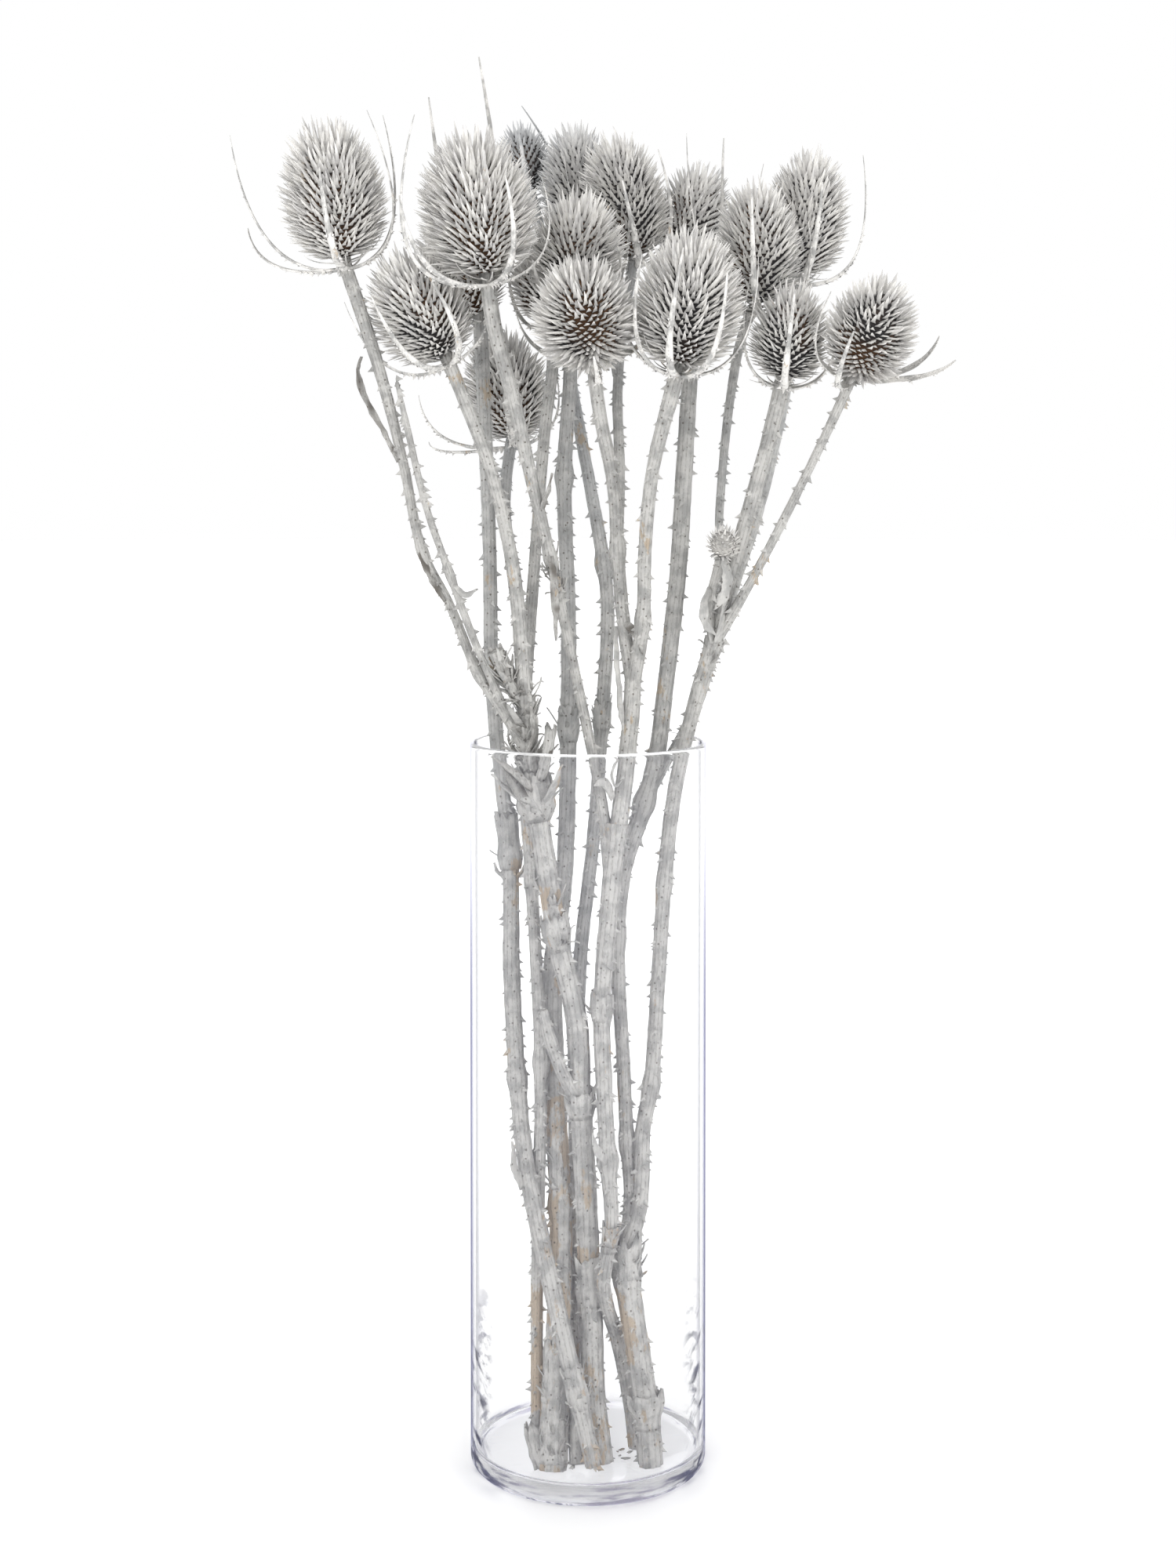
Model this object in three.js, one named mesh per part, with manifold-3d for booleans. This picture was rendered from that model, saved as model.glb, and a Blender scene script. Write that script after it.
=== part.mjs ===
// Dried, whitewashed teasel seed heads on cut, branching stems, standing in a clear glass cylinder vase.
// Millimetres, +Z up. The origin is the middle of the vase's underside, and the front faces -Y.
import * as THREE from "three";
import { mergeVertices } from "three/addons/utils/BufferGeometryUtils.js";
import Module from "manifold-3d";

const wasm = await Module();
wasm.setup();

// The vase
const VASE_DIAMETER = 120;
const VASE_HEIGHT = 370;
const VASE_WALL = 2.5;
const VASE_FLOOR = 10;
const HEEL_RADIUS = 6;
const INNER_CORNER = 4;
const VASE_SEGMENTS = 40;
const HEEL_STEPS = 3;
const LIP_STEPS = 3;
const CORNER_STEPS = 2;

// The front view that the routes below are read from: how far off and how high the eye is
const EYE_DISTANCE = 1240;
const EYE_HEIGHT = 551;

// Stalks: the sides of a stalk are its ribs
const RIBS = 6;
const STATION_SPACING = 34;
const SWELLING_REACH = 7;
const FOOT_GAP = 0.3;
const WHOLE_SPACE = 2000; // a box of this side holds everything above the vase's floor

// Heads
const HEAD_AROUND = 11;
const HEAD_ROWS = 8;
const SPINE_SHARE = 0.2; // a spine's length, as a share of the head's width
const SPINE_STAND_OFF = 0.85; // how much of its length a spine adds to the core's radius at the waist
const SPINE_RISE = 0.5; // how far a spine leans up along the head, against how far it stands out
const TUFT_EXTRA = 0.45; // how much longer the spines of the top tuft are
const TWIST_PER_ROW = 0.07;
const SPINE_VARIATION = 0.12;
const EGG_FOOT_ANGLE = 0.24;
const EGG_CROWN_ANGLE = 0.2;
const EGG_FOOT_DEPTH = 1;
const CROWN_SHARE = 0.5; // how far the middle of the tuft rises, as a share of a spine
const EGG_FULLNESS = 0.12; // how much fuller the core is below its waist

// The long, curved bracts under a head, and torn leaf scraps
const BRACT_STATIONS = 4;
const BRACT_DROP = 5; // how far under its head a bract leaves the stalk
const BRACT_CLEARANCE = 0.6; // a bract's least reach, as a share of its head's width
const BRACT_BULGE = 0.9; // how much further out a bract whose tip turns back in swings on its way up
const BRACT_ROOT_RADIUS = 1.7;
const BRACT_TIP_RADIUS = 0.45;
const SCRAP_HALF_THICKNESS = 0.55;

// One row for each stem that was cut. A point is [across, up, depth behind the vase's axis, radius], as
// seen from the front. A swelling is [number of the point, how many times thicker the stalk is there].
// A bract is [bearing in degrees from +X round to +Y, reach out, rise along the head, curl of its tip].
const STEMS = [
  {
    name: "teasel_centre_left",
    stalks: [
      {
        points: [
          [7, -2, -30, 6.4], [3, 35, -24, 6.2], [1, 87, -18, 6.2], [-2, 155, -20, 6], [-4, 183, -22, 6],
          [-6, 227, -23, 5.8], [-16, 271, -22, 5.6], [-22, 311, -21, 5.6], [-26, 335, -20, 5.6],
          [-32, 369, -18, 5.2],
        ],
        swellings: [[2, 1.25], [4, 1.25], [6, 1.25], [8, 1.6]],
      },
      {
        points: [
          [-31, 364, -18, 4], [-41, 381, -20, 3.4], [-56, 404, -22, 3.2], [-71, 440, -28, 2.8],
          [-84, 465, -32, 3], [-94, 511, -36, 3.2], [-106, 558, -40, 3.6], [-124, 613, -42, 3.8],
        ],
        swellings: [[2, 1.35], [4, 1.3]],
      },
      {
        points: [
          [-31, 364, -18, 4.6], [-33, 403, -22, 4], [-38, 456, -26, 3.6], [-49, 505, -36, 3.6],
          [-63, 543, -36, 3.6], [-73, 567, -34, 3.6],
        ],
        swellings: [],
      },
      {
        points: [
          [-33, 412, -22, 3], [-38, 451, -10, 3], [-42, 487, 14, 3], [-41, 509, 32, 3.2],
          [-38, 529, 43, 3.2],
        ],
        swellings: [],
      },
      {
        points: [
          [-4, 183, -22, 4], [-11, 195, -28, 3.6], [-19, 215, -32, 3.4], [-23, 231, -33, 2.6],
        ],
        swellings: [],
      },
      {
        points: [
          [-40, 380, -20, 2.4], [-57, 418, -30, 2], [-70, 453, -38, 1.9], [-82, 487, -42, 1.8],
          [-92, 529, -43, 1.8], [-97, 551, -44, 1],
        ],
        swellings: [[2, 1.4]],
      },
      { points: [[-33, 388, -20, 3], [-42, 402, -25, 3], [-47, 415, -28, 4.4]], swellings: [] },
    ],
    heads: [
      {
        base: [-124, 614, -42], tip: [-136, 689, -46], width: 54,
        bracts: [
          [180, 45, 67, 1], [168, 46, 22, 1], [0, 27, 69, 0.7], [15, 34, 66, 0.9], [265, 30, 45, 0.8],
          [90, 32, 48, 0.9],
        ],
      },
      {
        base: [-73, 565, -33], tip: [-103, 620, -38], width: 52,
        bracts: [
          [190, 34, 46, 0.9], [235, 34, 42, 0.9], [300, 26, 36, 0.9], [0, 26, 22, 1],
          [90, 26, 40, 0.9],
        ],
      },
      {
        base: [-38, 526, 42], tip: [-47, 584, 50], width: 49,
        bracts: [
          [180, 44, 4, 1], [190, 46, 28, 1], [0, 26, 38, 0.9], [270, 24, 34, 0.9], [90, 24, 34, 0.9],
        ],
      },
    ],
    scraps: [
      [[-94, 510, -37, 2], [-106, 528, -40, 3.4], [-115, 545, -42, 3.6], [-117, 562, -43, 1.4]],
      [[-26, 333, -24, 4], [-36, 346, -30, 4.4], [-44, 358, -29, 1.6]],
      [[-24, 333, -25, 4], [-17, 346, -30, 3.6], [-13, 357, -31, 1.4]],
      [[-69, 449, -38, 1.6], [-62, 443, -41, 2], [-56, 446, -42, 1]],
    ],
  },
  {
    name: "teasel_far_left",
    stalks: [
      {
        points: [
          [3, -4, -46, 4.6], [-5, 31, -44, 4.6], [-10, 52, -40, 4.8], [-19, 92, -34, 4.8],
          [-31, 150, -20, 4.6],
          [-36, 197, -8, 4.6], [-39, 251, 2, 4.6], [-40, 311, 12, 4.8], [-45, 355, 16, 4.6],
          [-49, 407, 17, 4.4],
          [-50, 467, 15, 4.4], [-53, 547, 13, 4.4], [-55, 591, 17, 4.4],
        ],
        swellings: [[1, 1.25], [5, 1.25], [7, 1.35]],
      },
    ],
    heads: [
      {
        base: [-55, 587, 17], tip: [-82, 636, 21], width: 48,
        bracts: [[180, 26, 40, 0.9], [90, 26, 38, 0.9], [300, 20, 30, 0.9]],
      },
    ],
    scraps: [[[-33, 140, -25, 2], [-37, 150, -27, 3], [-38, 164, -27, 1.2]]],
  },
  {
    name: "teasel_thin",
    stalks: [
      {
        points: [
          [-26, 14, -26, 3.2], [-26, 52, -20, 3.2], [-26, 91, -12, 3.2], [-25, 142, -14, 3.4],
          [-24, 205, -13, 3.6],
          [-27, 267, -7, 3.2], [-29, 299, 0, 3.4], [-33, 355, 11, 3], [-31, 403, 9, 3], [-28, 449, 2, 3.2],
          [-22, 527, -2, 3.2], [-18, 563, 10, 3.2], [-20, 591, 25, 3.2],
        ],
        swellings: [[4, 1.3], [6, 1.3]],
      },
    ],
    heads: [
      {
        base: [-20, 587, 24], tip: [-27, 629, 34], width: 40,
        bracts: [[20, 22, 36, 0.9], [90, 22, 34, 0.9], [140, 22, 34, 0.9]],
      },
    ],
    scraps: [],
  },
  {
    name: "teasel_middle",
    stalks: [
      {
        points: [
          [-18, -6, -38, 7.6], [-16, 51, -26, 6.4], [-14, 91, -16, 6.4], [-14, 131, -12, 6.2],
          [-17, 196, -3, 5.8],
          [-18, 251, 2, 5.4], [-12, 304, 10, 5.2], [-10, 376, 20, 5], [-10, 435, 20, 4.8],
          [-12, 505, 16, 4.6],
          [-9, 555, 12, 4], [-8, 600, -12, 3.8],
        ],
        swellings: [[3, 1.2], [7, 1.3], [9, 1.35]],
      },
    ],
    heads: [
      {
        base: [-8, 595, -12], tip: [-2, 653, -22], width: 52,
        bracts: [[150, 27, 42, 0.9], [30, 26, 40, 0.9], [90, 26, 40, 0.9]],
      },
    ],
    scraps: [],
  },
  {
    name: "teasel_rear",
    stalks: [
      {
        points: [
          [-5, -3, -37, 4.4], [-7.5, 40, -19, 4.1], [-8, 67, -9, 4.2], [-6, 115, 0, 4.4],
          [-6, 187, 10, 4.4], [-4, 258, 18, 4.2],
          [3, 323, 16, 4], [7, 379, 13, 3.8], [10, 435, 12, 3.8], [8, 460, 15, 3.8], [1, 501, 30, 3.4],
          [-6, 539, 44, 3.2], [-13, 579, 60, 3], [-20, 615, 72, 2.8], [-30, 655, 83, 2.8],
        ],
        swellings: [[7, 1.3], [9, 1.4]],
      },
    ],
    heads: [
      {
        base: [-30, 651, 82], tip: [-36, 688, 88], width: 32, around: 10, rows: 7,
        bracts: [[20, 14, 48, 0.2], [150, 14, 30, 0.9], [270, 14, 28, 0.9]],
      },
    ],
    scraps: [],
  },
  {
    name: "teasel_right",
    stalks: [
      {
        points: [
          [32, -3, -30, 6.8], [29, 29, -28, 6.6], [23, 71, -24, 6.6], [20, 94, -21, 6.8],
          [19, 111, -20, 6.8],
        ],
        swellings: [[1, 1.3], [3, 1.2]],
      },
      {
        points: [
          [19, 106, -20, 4.4], [22, 135, -13, 4], [20, 164, -8, 3.8], [18, 205, -4, 3.8], [15, 270, 2, 4.2],
          [18, 303, 5, 4.6], [29, 339, 8, 5], [35, 363, 8, 4.8], [39, 394, 8, 4.6], [46, 459, 4, 4.6],
          [49, 511, 2, 4.6], [52, 563, 14, 4.4], [52, 601, 33, 4], [47, 622, 45, 4],
        ],
        swellings: [[2, 1.3], [4, 1.2], [6, 1.35]],
      },
      {
        points: [
          [29, 339, 8, 3], [41, 361, 17, 2.8], [57, 392, 18, 2.6], [65, 427, 16, 2.4], [67, 491, 14, 2.4],
          [72, 543, 12, 2.4], [78, 575, 2, 2.6], [87, 596, -10, 2.8],
        ],
        swellings: [],
      },
      {
        points: [
          [19, 106, -20, 5], [26, 132, -16, 4.8], [28, 171, -10, 5], [32, 193, -8, 5.2], [36, 251, -4, 5],
          [39, 298, -2, 5], [44, 343, -2, 4.8], [55, 391, -4, 4.8], [65, 422, -5, 5.2],
        ],
        swellings: [[3, 1.25], [5, 1.2], [8, 1.25]],
      },
      {
        points: [
          [64, 419, -5, 4.2], [72, 451, -12, 4], [83, 491, -20, 4.1], [93, 527, -26, 4.2],
          [100, 557, -30, 4.4],
        ],
        swellings: [],
      },
      {
        points: [
          [64, 419, -5, 3.8], [75, 453, 4, 3.6], [87, 491, 12, 3.6], [98, 539, 22, 3.6],
          [104, 577, 27, 3.6],
          [108, 612, 31, 3.8],
        ],
        swellings: [],
      },
      {
        points: [
          [64, 419, -5, 3.4], [82, 449, -18, 2.4], [96, 475, -26, 2.4], [120, 523, -36, 2.4],
          [137, 560, -42, 2.8],
        ],
        swellings: [],
      },
      {
        points: [
          [64, 419, -5, 3.2], [62, 440, -12, 2.4], [65, 453, -18, 2.6], [68, 464, -21, 2.8],
        ],
        swellings: [],
      },
    ],
    heads: [
      {
        base: [46, 619, 46], tip: [62, 667, 57], width: 42,
        bracts: [[60, 20, 38, 0.9], [0, 18, 44, 0.9], [120, 20, 38, 0.9]],
      },
      {
        base: [87, 592, -10], tip: [85, 658, -14], width: 47,
        bracts: [[175, 34, 86, 1], [130, 20, 84, 0.8], [260, 26, 56, 0.8], [0, 24, 40, 0.9]],
      },
      {
        base: [107, 608, 30], tip: [115, 675, 36], width: 47,
        bracts: [
          [0, 34, 66, 0.75], [350, 30, 30, 1], [170, 20, 56, 0.9], [280, 22, 44, 0.9],
          [90, 22, 44, 0.9],
        ],
      },
      {
        base: [100, 554, -28], tip: [106, 605, -40], width: 42,
        bracts: [[180, 24, 48, 0.9], [265, 24, 48, 0.9], [0, 26, 42, 0.9], [90, 22, 40, 0.9]],
      },
      {
        base: [136, 557, -40], tip: [154, 604, -78], width: 47,
        bracts: [
          [10, 44, 12, 1.1], [20, 38, 22, 1], [250, 30, 40, 0.9], [180, 28, 44, 0.9],
          [90, 26, 40, 0.9],
        ],
      },
      {
        base: [68, 465, -20], tip: [70, 479, -27], width: 16, around: 7, rows: 4,
        bracts: [],
      },
    ],
    scraps: [
      [[64, 420, -9, 3], [61, 432, -15, 4], [57, 440, -18, 2]],
      [[66, 420, -10, 3], [69, 434, -14, 3.4], [70, 445, -15, 1.4]],
    ],
  },
  {
    name: "teasel_front",
    stalks: [
      {
        points: [
          [25, -1, -8, 3.8], [21, 33, -10, 3.8], [15, 62, -14, 3.8], [8, 89, -29, 3.8], [12, 122, -33, 3.8],
          [10, 154, -32, 4.2], [8, 196, -28, 4.4], [7, 232, -25, 4.6], [10, 275, -22, 5],
          [15, 327, -18, 5.4],
        ],
        swellings: [[5, 1.5], [7, 1.25], [9, 1.25]],
      },
      {
        points: [
          [15, 322, -18, 4.8], [19, 353, -14, 4.6], [22, 384, -10, 4.6], [23, 402, -8, 4.4],
        ],
        swellings: [],
      },
      {
        points: [
          [23, 398, -8, 4], [28, 431, -18, 3.6], [29, 467, -30, 3.6], [33, 507, -42, 3.6],
          [42, 543, -50, 4], [48, 564, -53, 4.4],
        ],
        swellings: [[1, 1.3]],
      },
      {
        points: [
          [23, 398, -8, 4], [18, 431, -8, 3.6], [15, 467, -13, 3.6], [13, 499, -22, 3.6],
          [6, 535, -38, 3.6], [2, 565, -48, 3.6],
        ],
        swellings: [[2, 1.3]],
      },
      {
        points: [
          [15, 463, -12, 3], [16, 507, -2, 2.9], [15, 547, 12, 2.8], [17, 575, 20, 2.8], [24, 621, 24, 3],
        ],
        swellings: [],
      },
      { points: [[15, 556, 14, 2.8], [10, 587, 38, 2.8], [-2, 628, 60, 2.8]], swellings: [] },
      {
        points: [
          [12, 294, -20, 3.8], [8, 331, -15, 3.4], [4, 354, -10, 3], [-6, 402, -11, 2.8],
          [-19, 462, -24, 3.4],
          [-28, 499, -34, 3.6], [-38, 543, -42, 4], [-48, 581, -46, 4.2], [-52, 610, -48, 4.2],
        ],
        swellings: [[4, 1.5]],
      },
    ],
    heads: [
      {
        base: [47, 560, -52], tip: [56, 633, -64], width: 57,
        bracts: [
          [255, 30, 58, 0.7], [300, 30, 50, 0.9], [215, 32, 52, 0.9], [0, 30, 56, 0.9],
          [175, 30, 48, 1], [90, 30, 46, 0.9],
        ],
      },
      {
        base: [2, 566, -42], tip: [-7, 611, -88], width: 54,
        bracts: [[180, 32, 34, 1], [0, 34, 30, 1], [270, 30, 30, 1], [60, 32, 44, 1], [120, 32, 44, 1]],
      },
      {
        base: [25, 617, 24], tip: [10, 683, 20], width: 47,
        bracts: [[180, 22, 58, 0.9], [330, 24, 50, 0.9], [270, 22, 38, 0.9], [90, 22, 38, 0.9]],
      },
      {
        base: [-1, 624, 60], tip: [-9, 688, 66], width: 46,
        bracts: [[0, 22, 44, 0.9], [180, 22, 40, 0.9], [90, 24, 40, 0.9]],
      },
      {
        base: [-51, 606, -48], tip: [-63, 684, -54], width: 61,
        bracts: [
          [70, 20, 106, 0.9], [120, 24, 90, 0.9], [207, 46, 80, 0.55], [229, 52, 42, 1],
          [0, 30, 42, 0.9], [300, 28, 44, 0.9],
        ],
      },
    ],
    scraps: [
      [[-19, 463, -28, 2.4], [-17, 444, -31, 3], [-16, 420, -31, 1.4]],
      [[-25, 482, -30, 1.8], [-21, 494, -36, 2.4], [-18, 505, -38, 1.2]],
      [[19, 430, -10, 2], [26, 422, -16, 3], [28, 413, -18, 1.4]],
      [[13, 340, -20, 2.4], [8, 348, -26, 3], [3, 346, -28, 1.4]],
      [[10, 154, -36, 3], [4, 160, -40, 3], [2, 168, -40, 1.4]],
    ],
  },
];

const whitewash = new THREE.Color(0xc8c6c0);
const clearGlass = new THREE.Color(0xf2f5f6);
const bunch = new THREE.Group();

// A small generator with a fixed start, so that the spines' lengths come out the same each time.
let draw = 20261127;
function nextShare() {
  draw = (draw * 1664525 + 1013904223) % 4294967296;
  return draw / 4294967296;
}

// A point read off the front view, moved out or in for how near the eye it lies.
function fromFront([across, up, depth]) {
  const spread = 1 + depth / EYE_DISTANCE;
  return new THREE.Vector3(across * spread, depth, EYE_HEIGHT - (EYE_HEIGHT - up) * spread);
}

function solidOf(geometry) {
  const bare = geometry.clone();
  bare.deleteAttribute("normal");
  bare.deleteAttribute("uv");
  const merged = mergeVertices(bare, 1e-4);
  return new wasm.Manifold(
    new wasm.Mesh({
      numProp: 3,
      vertProperties: merged.attributes.position.array,
      triVerts: new Uint32Array(merged.index.array),
    }),
  );
}

function geometryOf(solid) {
  const mesh = solid.getMesh();
  const geometry = new THREE.BufferGeometry();
  const positions = new Float32Array(mesh.vertProperties);
  geometry.setAttribute("position", new THREE.BufferAttribute(positions, 3));
  geometry.setIndex(new THREE.BufferAttribute(new Uint32Array(mesh.triVerts), 1));
  geometry.computeVertexNormals();
  return geometry;
}

function geometryFrom(vertices, triangles) {
  const geometry = new THREE.BufferGeometry().setFromPoints(vertices);
  geometry.setIndex(triangles);
  return geometry;
}

// A tube closed at both ends. It is round, or flat where a half thickness is given.
function closedTube(centres, radii, sides, halfThickness = null) {
  const vertices = [];
  const triangles = [];
  const last = centres.length - 1;
  let side = null;
  centres.forEach((centre, i) => {
    const along = centres[Math.min(i + 1, last)].clone().sub(centres[Math.max(i - 1, 0)]).normalize();
    side = side ?? new THREE.Vector3(along.z, 0, -along.x);
    side = side.clone().addScaledVector(along, -side.dot(along)).normalize();
    const across = along.clone().cross(side);
    for (let k = 0; k < sides; k++) {
      const angle = (2 * Math.PI * k) / sides;
      vertices.push(
        centre
          .clone()
          .addScaledVector(side, radii[i] * Math.cos(angle))
          .addScaledVector(across, (halfThickness ?? radii[i]) * Math.sin(angle)),
      );
    }
  });
  for (let i = 0; i < last; i++)
    for (let k = 0; k < sides; k++) {
      const next = (k + 1) % sides;
      const [a, b] = [i * sides + k, i * sides + next];
      triangles.push(a, b, b + sides, a, b + sides, a + sides);
    }
  for (let k = 1; k < sides - 1; k++) {
    triangles.push(0, k + 1, k);
    triangles.push(last * sides, last * sides + k, last * sides + k + 1);
  }
  return geometryFrom(vertices, triangles);
}

// How thick a stalk is at a distance along it: tapered from point to point, and swollen at its joints.
function stalkStations(curve, points, swellings) {
  const spans = points.length - 1;
  const stations = [];
  for (let span = 0; span < spans; span++) {
    const from = curve.getPoint(span / spans);
    const to = curve.getPoint((span + 1) / spans);
    const steps = Math.max(1, Math.round(from.distanceTo(to) / STATION_SPACING));
    for (let step = 0; step < steps; step++) stations.push({ at: span + step / steps, swell: 1 });
  }
  stations.push({ at: spans, swell: 1 });
  for (const [joint, swell] of swellings) {
    const here = stations.find((s) => s.at === joint);
    here.swell = swell;
    for (const [neighbour, sign] of [[joint - 1, -1], [joint + 1, 1]]) {
      if (neighbour < 0 || neighbour > spans) continue;
      const length = curve.getPoint(joint / spans).distanceTo(curve.getPoint(neighbour / spans));
      stations.push({ at: joint + (sign * SWELLING_REACH) / length, swell: 1 });
    }
  }
  return stations.sort((a, b) => a.at - b.at);
}

function stalk({ points, swellings }) {
  const curve = new THREE.CatmullRomCurve3(points.map(fromFront), false, "centripetal");
  const spans = points.length - 1;
  const stations = stalkStations(curve, points, swellings);
  const centres = stations.map(({ at }) => curve.getPoint(at / spans));
  const radii = stations.map(({ at, swell }) => {
    const before = Math.min(Math.floor(at), spans - 1);
    return swell * THREE.MathUtils.lerp(points[before][3], points[before + 1][3], at - before);
  });
  return solidOf(closedTube(centres, radii, RIBS));
}

function scrap(points) {
  const centres = points.map(fromFront);
  return solidOf(closedTube(centres, points.map((p) => p[3]), 4, SCRAP_HALF_THICKNESS));
}

// The egg-shaped core of a head, as a ring's radius and height, and which way is out there.
function eggRing(share, radius, length) {
  const turn = THREE.MathUtils.lerp(EGG_FOOT_ANGLE, Math.PI - EGG_CROWN_ANGLE, share);
  return {
    radius: radius * Math.sin(turn) * (1 + EGG_FULLNESS * Math.cos(turn)),
    height: (length * (1 - Math.cos(turn))) / 2,
    out: new THREE.Vector2(Math.sin(turn) * length * 0.5, -Math.cos(turn) * radius).normalize(),
  };
}

// A head on its own axis: a diamond net wound round the egg, each diamond drawn out into a spine.
function headGeometry(width, height, around, rows) {
  const spine = SPINE_SHARE * width;
  const coreRadius = width / 2 - SPINE_STAND_OFF * spine;
  const coreLength = height - spine * (1 + TUFT_EXTRA);
  const vertices = [];
  const triangles = [];
  const corner = (ring, place) => ring * around + ((place + around) % around);
  const angleOf = (ring, place) =>
    (2 * Math.PI * (place + (ring % 2) / 2)) / around + TWIST_PER_ROW * ring;
  for (let ring = 0; ring <= rows; ring++)
    for (let place = 0; place < around; place++) {
      const egg = eggRing(ring / rows, coreRadius, coreLength);
      const angle = angleOf(ring, place);
      const [x, y] = [egg.radius * Math.cos(angle), egg.radius * Math.sin(angle)];
      vertices.push(new THREE.Vector3(x, y, egg.height));
    }
  for (let ring = 1; ring < rows; ring++)
    for (let place = 0; place < around; place++) {
      const egg = eggRing(ring / rows, coreRadius, coreLength);
      const shift = ring % 2;
      const angle = angleOf(ring, place) + Math.PI / around;
      const tuft = 1 + TUFT_EXTRA * (ring / rows) ** 4;
      const reach = spine * tuft * (1 + SPINE_VARIATION * (nextShare() - 0.5));
      const lean = new THREE.Vector2(egg.out.x, egg.out.y + SPINE_RISE).normalize().multiplyScalar(reach);
      const [r, z] = [egg.radius + lean.x, egg.height + lean.y];
      const tip = vertices.push(new THREE.Vector3(r * Math.cos(angle), r * Math.sin(angle), z)) - 1;
      const left = corner(ring, place);
      const right = corner(ring, place + 1);
      const bottom = corner(ring - 1, place + shift);
      const top = corner(ring + 1, place + shift);
      triangles.push(bottom, right, tip, right, top, tip, top, left, tip, left, bottom, tip);
    }
  const foot = vertices.push(new THREE.Vector3(0, 0, -EGG_FOOT_DEPTH)) - 1;
  const crown = vertices.push(new THREE.Vector3(0, 0, coreLength + spine * CROWN_SHARE)) - 1;
  const shift = rows % 2;
  for (let place = 0; place < around; place++) {
    triangles.push(corner(0, place), corner(0, place + 1), corner(1, place));
    triangles.push(corner(0, place + 1), corner(0, place), foot);
    triangles.push(corner(rows - 1, place + shift), corner(rows, place + 1), corner(rows, place));
    triangles.push(corner(rows, place), corner(rows, place + 1), crown);
  }
  return geometryFrom(vertices, triangles);
}

function bract(base, axis, width, [bearing, asked, rise, curl]) {
  const reach = Math.max(asked, BRACT_CLEARANCE * width);
  const angle = THREE.MathUtils.degToRad(bearing);
  const out = new THREE.Vector3(Math.cos(angle), Math.sin(angle), 0);
  out.addScaledVector(axis, -out.dot(axis)).normalize();
  const place = (outward, upward) =>
    base.clone().addScaledVector(out, outward).addScaledVector(axis, upward);
  const curve = new THREE.QuadraticBezierCurve3(
    place(0, -BRACT_DROP),
    place(reach * (1 + BRACT_BULGE * (1 - curl)), -BRACT_DROP),
    place(reach * curl, rise),
  );
  const radii = [];
  for (let i = 0; i <= BRACT_STATIONS; i++)
    radii.push(THREE.MathUtils.lerp(BRACT_ROOT_RADIUS, BRACT_TIP_RADIUS, i / BRACT_STATIONS));
  return solidOf(closedTube(curve.getPoints(BRACT_STATIONS), radii, 3));
}

function head({ base, tip, width, around = HEAD_AROUND, rows = HEAD_ROWS, bracts }) {
  const from = fromFront(base);
  const axis = fromFront(tip).sub(from);
  const height = axis.length();
  axis.normalize();
  const geometry = headGeometry(width, height, around, rows);
  geometry.applyQuaternion(new THREE.Quaternion().setFromUnitVectors(new THREE.Vector3(0, 0, 1), axis));
  geometry.translate(from.x, from.y, from.z);
  return [solidOf(geometry), ...bracts.map((row) => bract(from, axis, width, row))];
}

// The cut ends stand flat on the vase's floor, and nothing reaches below it.
function aboveFloor(solid) {
  const box = new THREE.BoxGeometry(WHOLE_SPACE, WHOLE_SPACE, WHOLE_SPACE);
  box.translate(0, 0, VASE_FLOOR + FOOT_GAP + WHOLE_SPACE / 2);
  return solid.intersect(solidOf(box));
}

// The one body that holds together: a pocket that the joining closed is filled, and a loose crumb dropped.
function mainBody(solid) {
  return solid.decompose().reduce((most, body) => (body.volume() > most.volume() ? body : most));
}

function teaselStem({ name, stalks, heads, scraps }) {
  const pieces = [...stalks.map(stalk), ...heads.flatMap(head), ...scraps.map(scrap)];
  const whole = mainBody(pieces.reduce((joined, piece) => joined.add(piece)));
  const material = new THREE.MeshStandardMaterial({ color: whitewash, roughness: 0.9, metalness: 0 });
  const mesh = new THREE.Mesh(geometryOf(aboveFloor(whole)), material);
  mesh.name = name;
  return mesh;
}

// Points of an arc in the vase's section, from one turn to another in half circles.
function arcPoints(middleRadius, middleHeight, radius, from, to, steps) {
  const points = [];
  for (let i = 0; i <= steps; i++) {
    const angle = Math.PI * THREE.MathUtils.lerp(from, to, i / steps);
    points.push([middleRadius + radius * Math.cos(angle), middleHeight + radius * Math.sin(angle)]);
  }
  return points;
}

function vase() {
  const outer = VASE_DIAMETER / 2;
  const inner = outer - VASE_WALL;
  const lip = VASE_WALL / 2;
  const profile = [
    [0, 0],
    ...arcPoints(outer - HEEL_RADIUS, HEEL_RADIUS, HEEL_RADIUS, -0.5, 0, HEEL_STEPS),
    ...arcPoints(inner + lip, VASE_HEIGHT - lip, lip, 0, 1, LIP_STEPS),
    ...arcPoints(inner - INNER_CORNER, VASE_FLOOR + INNER_CORNER, INNER_CORNER, 0, -0.5, CORNER_STEPS),
    [0, VASE_FLOOR],
  ].map(([radius, height]) => new THREE.Vector2(radius, height));
  const turned = new THREE.LatheGeometry(profile, VASE_SEGMENTS).rotateX(Math.PI / 2);
  const material = new THREE.MeshStandardMaterial({ color: clearGlass, roughness: 0.05, metalness: 0 });
  const mesh = new THREE.Mesh(geometryOf(solidOf(turned)), material);
  mesh.name = "vase";
  return mesh;
}

bunch.add(vase());
STEMS.forEach((stem) => bunch.add(teaselStem(stem)));

export default bunch;
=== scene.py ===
import math
import random

import bmesh
import bpy
from mathutils import Matrix, Vector, geometry, noise


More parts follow.
